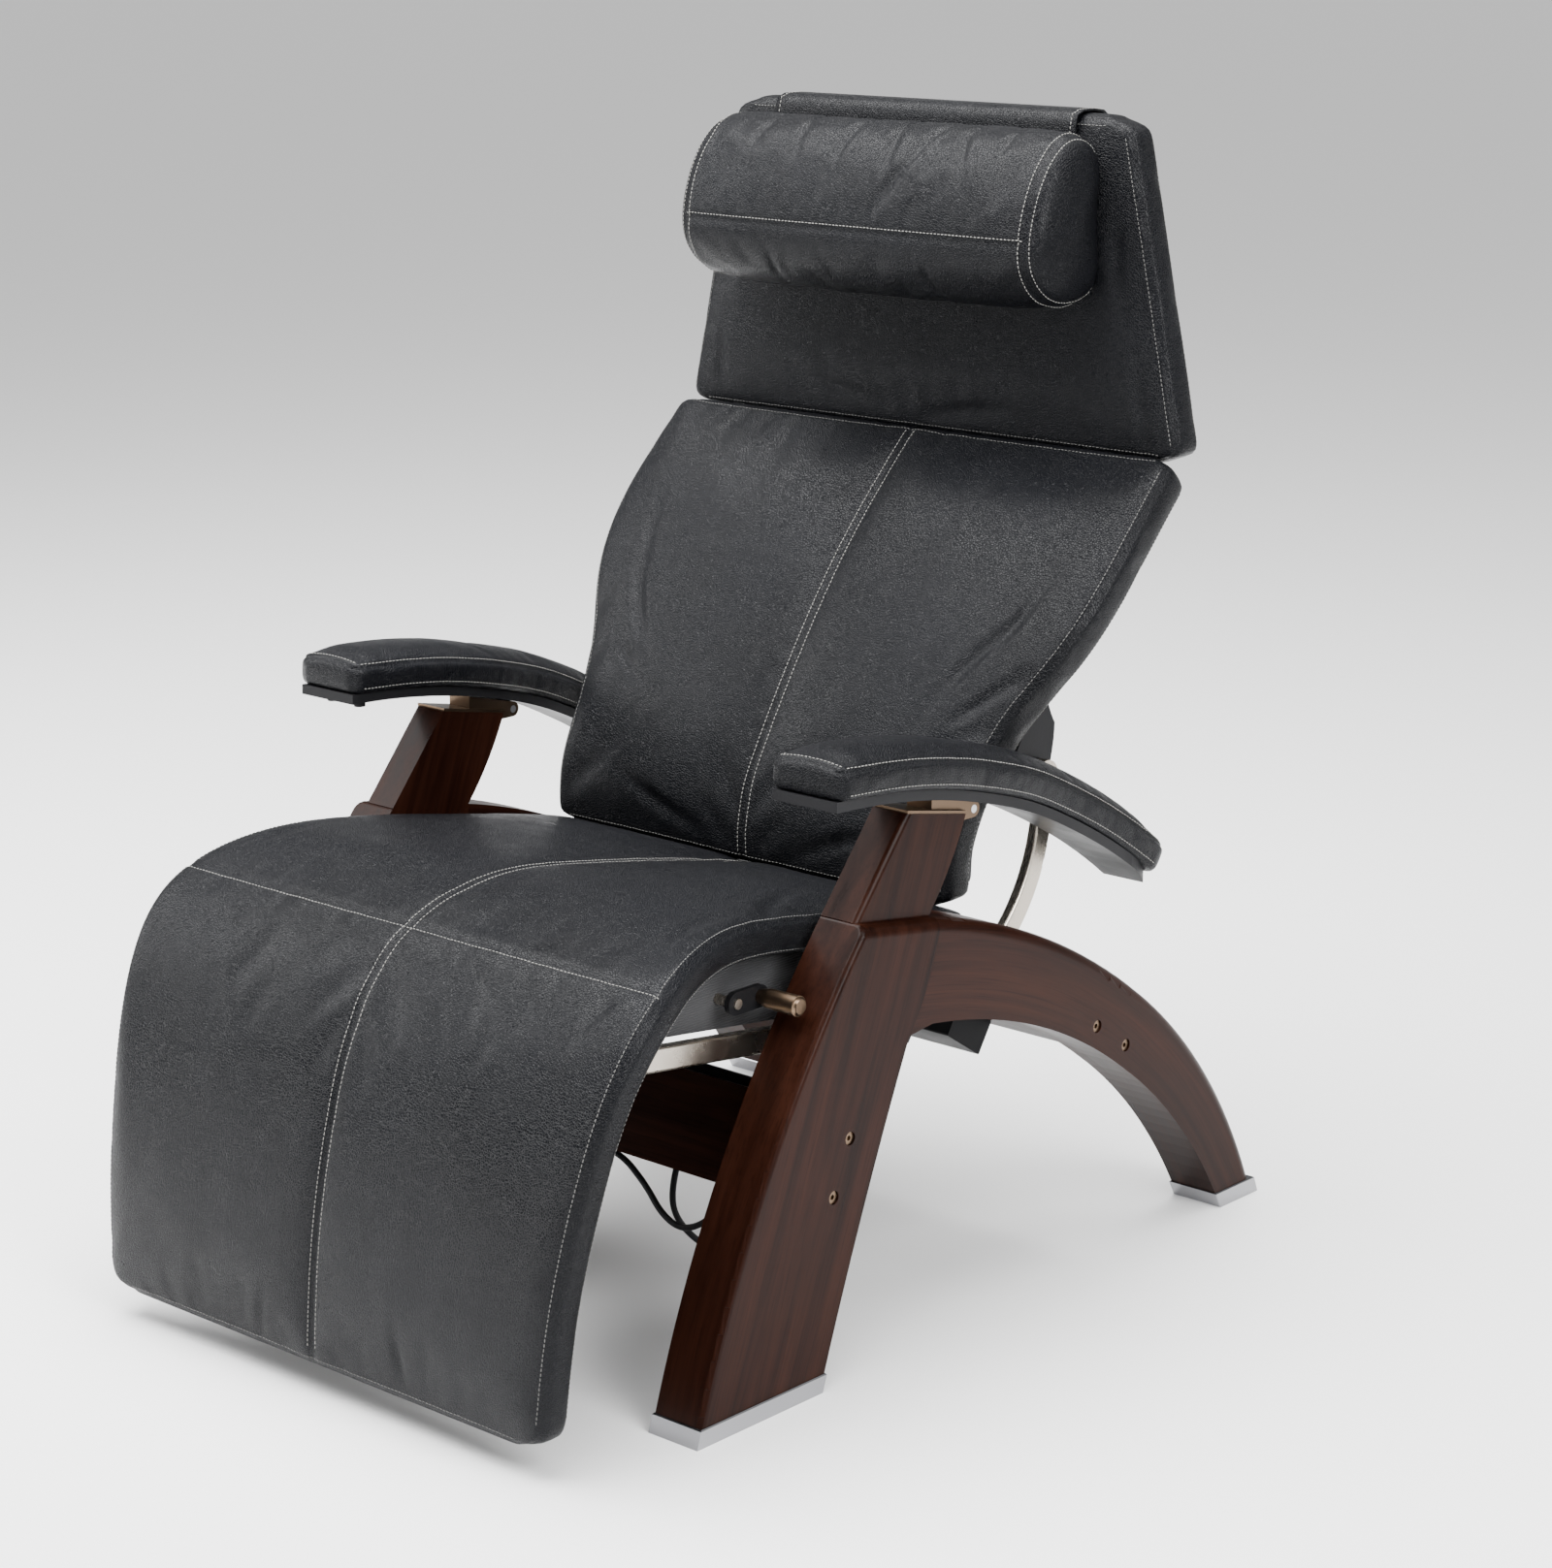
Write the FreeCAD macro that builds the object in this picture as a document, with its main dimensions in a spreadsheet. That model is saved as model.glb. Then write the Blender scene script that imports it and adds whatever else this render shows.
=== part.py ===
import FreeCAD, Part
import math
import os

from FreeCAD import Placement, Rotation, Vector

# Zero gravity recliner. The chair faces -Y, +X is the sitter's left, +Z is up and the floor is Z = 0.
# The origin is on the floor under the middle of the chair. All sizes are in millimetres.

doc = FreeCAD.newDocument("ZeroGravityRecliner")
sheet = doc.addObject("Spreadsheet::Sheet", "Sizes")

SIZES = {
    # wooden base, seen from the side: places along Y and Z
    "leg_outer_x": 350, "leg_thick": 57, "post_thick": 42,
    "foot_front_y": -364, "foot_back_y": -195, "foot_clear": 3,
    "shoulder_y": -131, "shoulder_z": 441, "leg_bow": 25,
    "crotch_y": -69, "crotch_z": 320, "leg_back_bow": 4,
    "joint_top_y": -23, "joint_top_z": 425, "joint_bow": 7,
    "post_top_front_y": -57, "post_top_front_z": 531, "post_top_back_y": 30, "post_top_back_z": 514,
    "post_root_y": -24, "post_flare": 4,
    "arch_mid_y": 306, "arch_mid_z": 273, "arch_back_y": 517, "arch_top_bow": 18.7, "arch_back_bow": 24.3,
    "arch_under_y": -35, "arch_under_z": 324, "arch_inner_y": 275, "arch_inner_z": 200,
    "arch_heel_y": 452, "arch_under_bow": 21.5, "arch_inner_bow": 15,
    "edge_round": 6, "crown_round": 13,
    # foot caps
    "cap_high": 18, "cap_wall": 2, "cap_lip": 1.2,
    # bolts through the sides into the stretchers
    "leg_bolt_high_y": -154, "leg_bolt_high_z": 241, "leg_bolt_low_y": -177, "leg_bolt_low_z": 189,
    "arch_bolt_high_y": 227, "arch_bolt_high_z": 257, "arch_bolt_low_y": 276, "arch_bolt_low_z": 225,
    "bolt_radius": 4, "bolt_head_radius": 6.5, "bolt_head_high": 5, "bolt_sink": 2, "bolt_long": 90,
    "bolt_slack": 0.2, "socket_radius": 2.5, "socket_deep": 3, "nut_radius": 6, "nut_long": 16, "nut_in": 24,
    "stretcher_thick": 22, "stretcher_high": 95,
    "dowel_radius": 5, "dowel_long": 50,
    # arm hinge blocks and pins
    "block_front_y": -14, "block_gap": 6, "block_wide": 30, "block_high": 13, "plate_thick": 3,
    "arm_pin_y": 50, "arm_pin_z": 514, "arm_pin_radius": 4, "block_nose": 8, "slot_wide": 10,
    "run_slack": 0.05, "side_slack": 0.4, "neck_wide": 12, "neck_high": 34,
    # pivot of the seat frame
    "pivot_y": -30, "pivot_z": "=400 - pad_thick", "pivot_radius": 8,
    "flange_radius": "=pivot_radius + 9", "flange_thick": 4,
    "hanger_thick": 8, "pin_head_radius": "=pivot_radius + 3", "pin_head_thick": 5, "screw_radius": 2,
    "screw_long": 18,
    "screw_head_radius": 3.6, "screw_head_thick": 2, "screw_ring": "=pivot_radius + 4",
    # seat frame
    "rail_gap": 19, "rail_thick": 12, "rail_deep": 24, "rail_front_y": -385, "rail_front_z": 352,
    "rail_toe_y": -440, "rail_toe_z": 185, "rail_heel_y": 236, "rail_heel_z": 273.5,
    "rail_heel_radius": 185, "rail_knee_radius": 45, "rail_eye": 18, "tube_wall": 2, "cross_tube_radius": 12,
    "front_tube_y": -318, "shaft_radius": 10, "shaft_z": 500, "shaft_over": 5,
    "seat_base_gap": 5, "seat_base_lift": 14.5, "board_thick": 10, "board_gap": 12,
    "lever_plate_thick": 10, "drive_radius": 105, "drive_pin_radius": 5, "drive_slot": 4, "drive_slack": 0.5,
    "recline_angle": 27,
    # pads, with their widths beyond or inside the legs' inner faces
    "pad_thick": 40, "pad_over": 41, "pad_waist_gap": 7, "pad_foot_over": 9,
    "back_thick": 45, "back_over": 44, "back_waist_gap": 20, "shell_thick": 26, "shell_gap": 38,
    "pad_round": 16, "shell_round": 12,
    "head_front_y": 361, "head_low_z": 812, "head_top_z": 1145, "head_taper": 74, "head_round": 22,
    "head_thick": 45, "head_board_thick": 10, "head_board_half": 242, "bar_wide": 34, "bar_thick": 5,
    "strap_half": 200, "strap_thick": 2.5, "strap_front_low_z": 1000, "strap_back_low_z": 985,
    "pillow_half": 248, "pillow_low_z": 955, "pillow_top_z": 1133, "pillow_front_y": 241,
    "pillow_gap": 0.6, "weight_half": 90, "weight_high": 85, "weight_thick": 24, "weight_low_z": 930,
    # armrests
    "arm_over": 20, "arm_wide": 93, "arm_narrowing": 14, "arm_crown": 12, "arm_thick": 31, "arm_inset": 8,
    "panel_thick": 10,
    "button_radius": 6, "button_high": 9, "button_z": 555.5, "button_slack": 0.4, "button_travel": 3,
    "button_y": -168, "button_inner": 21, "button_outer": 61,
    # lock lever
    "lever_hub_y": -235, "lever_hub_z": 377, "lever_arm": 32, "grip_radius": 10, "grip_long": 50,
    "lever_hub_radius": 11, "lever_plate": 6, "lever_pin_radius": 5,
    # actuator, between the rear stretcher and the drive lever
    "anchor_y": 192, "gearbox_front_y": 128, "motor_radius": 19, "motor_long": 84, "motor_x": 41,
    "tube_radius": 13, "rod_radius": 7, "rod_slack": 0.05, "tube_front_y": 42, "cheek_thick": 4,
    "eye_half": 12, "fork_cheek": 6, "fork_high": 20,
    # electrics
    "box_x": 105, "box_wide": 110, "box_high": 84, "box_deep": 34, "box_over": 10,
    "supply_x": 30, "supply_wide": 150, "supply_high": 38, "supply_long": 62,
    "cable_radius": 3.25, "gland_radius": 6, "gland_long": 12, "cable_x": 125, "harness_x": 195,
}

for row, (name, value) in enumerate(SIZES.items(), start=1):
    sheet.set("A%d" % row, name)
    sheet.set("B%d" % row, str(value))
    sheet.setAlias("B%d" % row, name)
doc.recompute()


def size(name):
    """A value of the sheet."""
    return float(sheet.get(name))


def bind(piece, **expressions):
    """Ties properties to the sheet; a double underscore in a name stands for a dot."""
    for name, text in expressions.items():
        words = [("Sizes." + w) if w in SIZES else w for w in text.split()]
        piece.setExpression(name.replace("__", "."), " ".join(words))
    return piece


# ---------------------------------------------------------------- outlines in the side view (Y, Z)

def along(start, end, share):
    return (start[0] + (end[0] - start[0]) * share, start[1] + (end[1] - start[1]) * share)


def chain(start, *steps):
    """Closed outline: each step is an end point for a line, or an end point and a bow for an arc.

    A positive bow swells to the left of the way from point to point."""
    edges = []
    here = start
    for step in steps:
        end = step[:2]
        bow = step[2] if len(step) > 2 else 0
        a, b = Vector(here[0], here[1], 0), Vector(end[0], end[1], 0)
        if bow:
            left = Vector(-(b - a).y, (b - a).x, 0).normalize()
            edges.append(Part.Arc(a, (a + b) * 0.5 + left * bow, b))
        else:
            edges.append(Part.LineSegment(a, b))
        here = end
    return edges


def smooth(points):
    """Smooth curve through points."""
    curve = Part.BSplineCurve()
    curve.interpolate([Vector(p[0], p[1], 0) for p in points])
    return curve


def beside(points, distance):
    """Points at a distance to the right of a smooth curve through points."""
    curve = smooth(points)
    found = []
    for p in points:
        at = curve.parameter(Vector(p[0], p[1], 0))
        tangent = curve.tangent(at)[0]
        found.append((p[0] + tangent.y * distance, p[1] - tangent.x * distance))
    return found


def strip(points, near, far):
    """Closed outline between two curves that run beside the points, at the distances near and far."""
    first, second = beside(points, near), beside(points, far)
    a, b = [Vector(p[0], p[1], 0) for p in (first[-1], second[-1])]
    c, d = [Vector(p[0], p[1], 0) for p in (second[0], first[0])]
    return [smooth(first), Part.LineSegment(a, b), smooth(second), Part.LineSegment(c, d)]


def bent_bar(points, radii, width):
    """Closed outline of a flat bar bent at the inner points, each with its own centre-line radius."""
    sides = []
    for half in (width / 2, -width / 2):
        corners = []
        count = len(points)
        lines = []
        for a, b in zip(points[:-1], points[1:]):
            run = Vector(b[0] - a[0], b[1] - a[1], 0).normalize()
            left = Vector(-run.y, run.x, 0) * half
            lines.append((Vector(a[0], a[1], 0) + left, Vector(b[0], b[1], 0) + left, run))
        corners.append(lines[0][0])
        arcs = []
        for k in range(1, count - 1):
            (a, _, u), (c, _, w) = lines[k - 1], lines[k]
            cross = u.x * w.y - u.y * w.x
            reach = ((c - a).x * w.y - (c - a).y * w.x) / cross
            corner = a + u * reach
            turn = math.atan2(cross, u.dot(w))
            radius = radii[k - 1] - half * (1 if turn > 0 else -1)
            cut = radius * math.tan(abs(turn) / 2)
            start, end = corner - u * cut, corner + w * cut
            inward = Vector(-u.y, u.x, 0) * (1 if turn > 0 else -1)
            centre = start + inward * radius
            middle = centre + (corner - centre).normalize() * radius
            arcs.append((start, middle, end))
        sides.append((corners[0], arcs, lines[-1][1]))
    edges = []
    here = sides[0][0]
    for start, middle, end in sides[0][1]:
        edges += [Part.LineSegment(here, start), Part.Arc(start, middle, end)]
        here = end
    edges += [Part.LineSegment(here, sides[0][2]), Part.LineSegment(sides[0][2], sides[1][2])]
    here = sides[1][2]
    for start, middle, end in reversed(sides[1][1]):
        edges += [Part.LineSegment(here, end), Part.Arc(end, middle, start)]
        here = start
    edges += [Part.LineSegment(here, sides[1][0]), Part.LineSegment(sides[1][0], sides[0][0])]
    return edges


# ---------------------------------------------------------------- features

PLANES = {"side": "YZ_Plane", "plan": "XY_Plane", "front": "XZ_Plane"}


def new_body(label):
    body = doc.addObject("PartDesign::Body", label)
    body.Label = label
    return body


def new_sketch(body, view, edges, offset="0"):
    """Sketch on one of the body's own planes, moved along the plane's normal by offset."""
    sketch = body.newObject("Sketcher::SketchObject", body.Name + "_outline")
    role = PLANES[view]
    plane = [f for f in body.Origin.OriginFeatures if f.Role == role][0]
    sketch.AttachmentSupport = [(plane, "")]
    sketch.MapMode = "FlatFace"
    sketch.addGeometry(edges, False)
    bind(sketch, AttachmentOffset__Base__z=offset)
    return sketch


def pad(body, view, edges, length, offset="0", midplane=False):
    sketch = new_sketch(body, view, edges, offset)
    feature = body.newObject("PartDesign::Pad", body.Name + "_pad")
    feature.Profile = sketch
    if midplane:
        feature.Midplane = True
    bind(feature, Length=length)
    doc.recompute()
    return feature


def cut_through(body, view, edges):
    """Pocket through everything, both ways from the sketch's plane."""
    sketch = new_sketch(body, view, edges)
    feature = body.newObject("PartDesign::Pocket", body.Name + "_pocket")
    feature.Profile = sketch
    feature.Type = "ThroughAll"
    feature.Midplane = True
    before = body.Shape.Volume
    doc.recompute()
    if body.Shape.Volume > before - 1:
        raise RuntimeError(body.Label + ": the pocket cuts nothing")
    return feature


def round_edges(body, test, radius, kind="Fillet"):
    """Fillet on every edge of the body that passes the test."""
    tip = body.Tip
    names = []
    for number, edge in enumerate(tip.Shape.Edges, start=1):
        if test(edge):
            names.append("Edge%d" % number)
    feature = body.newObject("PartDesign::" + kind, body.Name + "_round")
    feature.Base = (tip, names)
    bind(feature, **{"Radius" if kind == "Fillet" else "Size": radius})
    doc.recompute()
    return feature


def cylinder(label, radius, length, axis, x="0", y="0", z="0"):
    """Cylinder that starts at the place and runs along +X, +Y or +Z."""
    piece = doc.addObject("Part::Cylinder", label)
    piece.Label = label
    bind(piece, Radius=radius, Height=length)
    turns = {"x": Rotation(Vector(0, 1, 0), 90), "y": Rotation(Vector(1, 0, 0), -90), "z": Rotation()}
    piece.Placement = Placement(Vector(0, 0, 0), turns[axis])
    bind(piece, Placement__Base__x=x, Placement__Base__y=y, Placement__Base__z=z)
    return piece


def box(label, wide, deep, high, x, y, z):
    """Box from its lowest corner."""
    piece = doc.addObject("Part::Box", label)
    piece.Label = label
    bind(piece, Length=wide, Width=deep, Height=high)
    bind(piece, Placement__Base__x=x, Placement__Base__y=y, Placement__Base__z=z)
    return piece


def fused(label, pieces):
    piece = doc.addObject("Part::MultiFuse", label)
    piece.Shapes = pieces
    piece.Label = label
    return piece


def group(label, pieces):
    """Separate solids that share one node."""
    piece = doc.addObject("Part::Compound", label)
    piece.Links = pieces
    piece.Label = label
    return piece


def minus(label, base, tools):
    """Base with the tools cut out of it."""
    tool = tools[0] if len(tools) == 1 else fused(label + "_tools", tools)
    piece = doc.addObject("Part::Cut", label)
    piece.Base = base
    piece.Tool = tool
    piece.Label = label
    return piece


def mirrored(label, source):
    piece = doc.addObject("Part::Mirroring", label)
    piece.Source = source
    piece.Normal = Vector(1, 0, 0)
    piece.Label = label
    return piece


nodes = {}
frames = {}


def keep(piece):
    nodes[piece.Label] = piece
    return piece


def keep_pair(make, name):
    """A left piece and its mirror image on the right."""
    left = keep(make("left_" + name))
    keep(mirrored("right_" + name, left))
    return left


def keep_both(make, name):
    """A left piece and its mirror image, in one node."""
    left = make("left_" + name)
    return keep(group(name + "s", [left, mirrored("right_" + name, left)]))


# ---------------------------------------------------------------- shared places

INNER = "( leg_outer_x - leg_thick )"
RAIL_OUT = "( leg_outer_x - leg_thick - rail_gap )"
RAIL_IN = "( leg_outer_x - leg_thick - rail_gap - rail_thick )"

inner_x = size("leg_outer_x") - size("leg_thick")
rail_in_x = inner_x - size("rail_gap") - size("rail_thick")
pivot = (size("pivot_y"), size("pivot_z"))
shaft = (size("rail_heel_y"), size("shaft_z"))
half_turn = math.radians(size("recline_angle") / 2)
drive = (pivot[0] + size("drive_radius") * math.sin(half_turn),
         pivot[1] - size("drive_radius") * math.cos(half_turn))

# side view of the pads' front surfaces, at the middle of the chair
SEAT_LINE = [(-520, 28), (-512, 130), (-485, 268), (-407, 415), (-300, 455), (-151, 445), (-12, 419),
             (105, 391)]
BACK_LINE = [(79, 403), (82, 454), (105, 506), (165, 603), (240, 704), (341, 808)]
ARM_LINE = [(-188, 603), (-94, 596), (-9, 581), (49, 566), (110, 546), (172, 518), (237, 483), (325, 424)]


def rail_line(y):
    """Height of the side rails' centre line under the seat."""
    share = (y - size("rail_front_y")) / (size("rail_heel_y") - size("rail_front_y"))
    return size("rail_front_z") + (size("rail_heel_z") - size("rail_front_z")) * share


def post_top(y):
    """Height of the posts' sloping tops, carried on past their back edges."""
    front = (size("post_top_front_y"), size("post_top_front_z"))
    back = (size("post_top_back_y"), size("post_top_back_z"))
    return front[1] + (back[1] - front[1]) * (y - front[0]) / (back[0] - front[0])


# ---------------------------------------------------------------- bolts, barrel nuts, dowels

BOLTS = ["leg_bolt_high", "leg_bolt_low", "arch_bolt_high", "arch_bolt_low"]


def bolt(name, place, slack="0", drill="0"):
    """Socket bolt with its head outwards; drill makes the shape longer at both ends, to cut with."""
    y, z = place + "_y", place + "_z"
    head = cylinder(name + "_head", "bolt_head_radius + " + slack, "bolt_head_high + bolt_sink * " + drill,
                    "x",
                    "leg_outer_x - bolt_sink - bolt_head_high", y, z)
    shank = cylinder(name + "_shank", "bolt_radius + " + slack, "bolt_long + " + drill, "x",
                     "leg_outer_x - bolt_sink - bolt_long - " + drill, y, z)
    return fused(name, [head, shank])


def bolt_set():
    pieces = []
    for number, place in enumerate(BOLTS, start=1):
        socket = cylinder("socket_%d" % number, "socket_radius", "socket_deep + 1", "x",
                          "leg_outer_x - bolt_sink - socket_deep", place + "_y", place + "_z")
        left = minus("left_bolt_%d" % number, bolt("bolt_%d" % number, place), [socket])
        pieces += [left, mirrored("right_bolt_%d" % number, left)]
    return group("frame_bolts", pieces)


def drills(places):
    return [bolt("drill_" + place, place, "bolt_slack", "1") for place in places]


def dowel_places():
    """Middles of the two dowels across the joint of leg and arch."""
    top = (size("joint_top_y"), size("joint_top_z"))
    low = (size("crotch_y"), size("crotch_z"))
    return [along(top, low, 0.3), along(top, low, 0.7)]


def dowels(name, slack):
    pieces = []
    for number, (y, z) in enumerate(dowel_places(), start=1):
        pieces.append(cylinder("%s_%d" % (name, number), "dowel_radius + " + slack,
                               "dowel_long + 2 * " + slack, "y",
                               "leg_outer_x - leg_thick / 2", "%.4f - dowel_long / 2 - " % y + slack,
                               "%.4f" % z))
    return pieces


# ---------------------------------------------------------------- wooden base

def leg_edges():
    """Outline of the thick lower leg: front, shoulder, joint line, back and foot."""
    foot = (size("foot_front_y"), size("foot_clear"))
    return chain(foot,
                 (size("shoulder_y"), size("shoulder_z"), size("leg_bow")),
                 (size("joint_top_y"), size("joint_top_z")),
                 (size("crotch_y"), size("crotch_z"), size("joint_bow")),
                 (size("foot_back_y"), size("foot_clear"), -size("leg_back_bow")),
                 foot)


def post_edges():
    """Outline of the thinner post that carries on from the leg up to the armrest."""
    front = (size("post_top_front_y"), size("post_top_front_z"))
    back = (size("post_top_back_y"), size("post_top_back_z"))
    root = (size("shoulder_y"), size("shoulder_z") - 20)
    return chain((size("shoulder_y"), size("shoulder_z")), front, back,
                 (size("post_root_y"), size("joint_top_z"), size("post_flare")),
                 (size("post_root_y"), root[1]), (size("shoulder_y") + 8, root[1]),
                 (size("shoulder_y"), size("shoulder_z")))


def arch_edges():
    """Outline of the rear arch: over the top, down the back, and up the inside."""
    top = (size("joint_top_y"), size("joint_top_z"))
    return chain(top,
                 (size("arch_mid_y"), size("arch_mid_z"), size("arch_top_bow")),
                 (size("arch_back_y"), size("foot_clear"), size("arch_back_bow")),
                 (size("arch_heel_y"), size("foot_clear")),
                 (size("arch_inner_y"), size("arch_inner_z"), -size("arch_inner_bow")),
                 (size("arch_under_y"), size("arch_under_z"), -size("arch_under_bow")),
                 (size("crotch_y"), size("crotch_z")),
                 top[:2] + (-size("joint_bow"),))


def on_face(edge, x):
    return all(abs(v.X - x) < 0.01 for v in edge.Vertexes)


def touches(edge, y, z):
    return any(abs(v.Y - y) < 0.01 and abs(v.Z - z) < 0.01 for v in edge.Vertexes)


def leg(label):
    outer, post_x = size("leg_outer_x"), inner_x + size("post_thick")
    foot, shoulder, joint, top = [(size(a), size(b)) for a, b in (
        ("foot_front_y", "foot_clear"), ("shoulder_y", "shoulder_z"), ("joint_top_y", "joint_top_z"),
        ("post_top_front_y", "post_top_front_z"))]
    body = new_body(label + "_wood")
    pad(body, "side", leg_edges(), "leg_thick", INNER)
    round_edges(body, lambda e: on_face(e, outer) and touches(e, *shoulder) and touches(e, *joint),
                "crown_round")
    round_edges(body, lambda e: (on_face(e, outer) and touches(e, *foot)
                                 and abs(e.Vertexes[0].Z - e.Vertexes[1].Z) > 300),
                "edge_round")
    pad(body, "side", post_edges(), "post_thick", INNER)
    round_edges(body, lambda e: on_face(e, post_x) and touches(e, *shoulder) and touches(e, *top),
                "edge_round")
    tools = drills(BOLTS[:2]) + dowels(label + "_dowel_hole", "0.1")
    tools += [pivot_screws("drill_screw"), pivot_shank("drill_pivot")]
    return minus(label, body, tools)


def arch(label):
    body = new_body(label + "_wood")
    pad(body, "side", arch_edges(), "leg_thick", INNER)
    outer = size("leg_outer_x")
    tops = [(size("joint_top_y"), size("joint_top_z")), (size("arch_mid_y"), size("arch_mid_z")),
            (size("arch_back_y"), size("foot_clear"))]
    round_edges(body, lambda e: on_face(e, outer) and any(
        touches(e, *a) and touches(e, *b) for a, b in zip(tops[:-1], tops[1:])), "crown_round")
    tools = drills(BOLTS[2:]) + dowels(label + "_dowel_hole", "0.1")
    tools += [pivot_screws("arch_drill_screw"), pivot_shank("arch_drill_pivot")]
    return minus(label, body, tools)


def cap(label, wood, front, front_run, back, back_run):
    """Chrome foot cap: a shallow cup round the end of a leg, open at the top."""
    high, wall, low = size("cap_high"), size("cap_wall"), size("foot_clear")
    places = []
    for y, run, way in ((front, front_run, -1), (back, back_run, 1)):
        places.append([y + run * (z - low) + way * wall for z in (0, high)])
    body = new_body(label + "_block")
    pad(body, "side", chain((places[0][0], 0), (places[0][1], high), (places[1][1], high), (places[1][0], 0),
                            (places[0][0], 0)),
        "leg_thick + 2 * cap_wall", INNER + " - cap_wall")
    round_edges(body, lambda e: all(abs(v.Z - high) < 0.01 for v in e.Vertexes), "cap_lip", "Chamfer")
    return minus(label, body, [wood])


def stretcher(label, high, low):
    """Plank between the sides, turned so that both bolts of a side enter its end."""
    top, bottom = [(size(b + "_y"), size(b + "_z")) for b in (high, low)]
    lean = math.degrees(math.atan2(bottom[0] - top[0], top[1] - bottom[1]))
    plank = doc.addObject("Part::Box", label + "_plank")
    bind(plank, Length="2 * " + INNER, Width="stretcher_thick", Height="stretcher_high")
    middle = Placement(Vector(0, (top[0] + bottom[0]) / 2, (top[1] + bottom[1]) / 2),
                       Rotation(Vector(1, 0, 0), lean))
    corner = Vector(-inner_x, -size("stretcher_thick") / 2, -size("stretcher_high") / 2)
    plank.Placement = middle.multiply(Placement(corner, Rotation()))
    return plank, middle


def nuts(label, high, low, slack, long):
    """Barrel nuts across a stretcher, one for each bolt of both sides."""
    _, frame = stretcher(label + "_guide", high, low)
    doc.removeObject(label + "_guide_plank")
    apart = math.hypot(size(high + "_y") - size(low + "_y"), size(high + "_z") - size(low + "_z")) / 2
    pieces = []
    for side in (-1, 1):
        for way in (-1, 1):
            nut = doc.addObject("Part::Cylinder", "%s_%d_%d" % (label, side + 1, way + 1))
            bind(nut, Radius="nut_radius + " + slack, Height="nut_long + " + long)
            place = Vector(side * (inner_x - size("nut_in")), -size("nut_long") / 2, way * apart)
            nut.Placement = frame.multiply(Placement(place, Rotation(Vector(1, 0, 0), -90)))
            pieces.append(nut)
    return pieces


def stretcher_piece(label, high, low):
    plank, frame = stretcher(label, high, low)
    holes = []
    for hole in drills([high, low]):
        holes += [hole, mirrored(hole.Label + "_other_side", hole)]
    frames[label] = frame
    keep(minus(label, plank, holes + nuts(label + "_nut_hole", high, low, "0.2", "6")))


def barrel_nuts():
    pieces = []
    for high, low in ((BOLTS[0], BOLTS[1]), (BOLTS[2], BOLTS[3])):
        pieces += nuts("nut_" + high, high, low, "0", "0")
    shanks = []
    for place in BOLTS:
        shank = bolt("nut_cut_" + place, place)
        shanks += [shank, mirrored("nut_cut_other_" + place, shank)]
    drill = fused("nut_cutters", shanks)
    return group("barrel_nuts", [minus("drilled_" + nut.Name, nut, [drill]) for nut in pieces])


# ---------------------------------------------------------------- pivots of the seat frame

def pivot_shank(name):
    """Threaded end and shank of a pivot pin, from inside the leg to the hanger plate."""
    return cylinder(name, "pivot_radius", "screw_long + flange_thick + rail_gap", "x",
                    RAIL_OUT + " - side_slack", "pivot_y", "pivot_z")


def pivot_pin(name):
    head = cylinder(name + "_head", "pin_head_radius", "pin_head_thick", "x",
                    RAIL_OUT + " - side_slack - pin_head_thick", "pivot_y", "pivot_z")
    return fused(name, [head, pivot_shank(name + "_shank")])


def pivot_screws(name):
    """Three countersunk screws that hold a flange on a leg."""
    pieces = []
    for number in range(3):
        turn = math.radians(90 + 120 * number)
        for part_name, radius, long in (("head", "screw_head_radius", "screw_head_thick"),
                                        ("shank", "screw_radius", "screw_long")):
            pieces.append(cylinder("%s_%d_%s" % (name, number, part_name), radius, long, "x",
                                   INNER + " - flange_thick", "pivot_y + screw_ring * %.4f" % math.cos(turn),
                                   "pivot_z + screw_ring * %.4f" % math.sin(turn)))
    pairs = [fused("%s_screw_%d" % (name, k), pieces[2 * k:2 * k + 2]) for k in range(3)]
    return group(name, pairs)


def flange(label):
    disc = cylinder(label + "_disc", "flange_radius", "flange_thick", "x", INNER + " - flange_thick",
                    "pivot_y", "pivot_z")
    return minus(label, disc, [pivot_screws(label + "_screw_holes"), pivot_shank(label + "_bore")])


def hanger(label):
    """Plate from the side rail up to the pivot pin, with a boss against the flange."""
    y0, y1 = pivot[0] - 45, pivot[0] + 45
    reach = size("flange_radius") - 1
    body = new_body(label + "_plate")
    low = size("rail_deep") / 3
    pad(body, "side", chain((y0, rail_line(y0) - low), (y1, rail_line(y1) - low),
                            (pivot[0] + reach, pivot[1]), (pivot[0] - reach, pivot[1], -reach),
                            (y0, rail_line(y0) - low)), "hanger_thick", RAIL_OUT)
    boss = cylinder(label + "_boss", "flange_radius - 2", "rail_gap - flange_thick - side_slack", "x",
                    RAIL_OUT, "pivot_y", "pivot_z")
    bore = cylinder(label + "_bore", "pivot_radius + run_slack", "2 * rail_gap", "x", RAIL_IN, "pivot_y",
                    "pivot_z")
    return minus(label, fused(label + "_blank", [body, boss]), [bore])


# ---------------------------------------------------------------- seat frame

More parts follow.
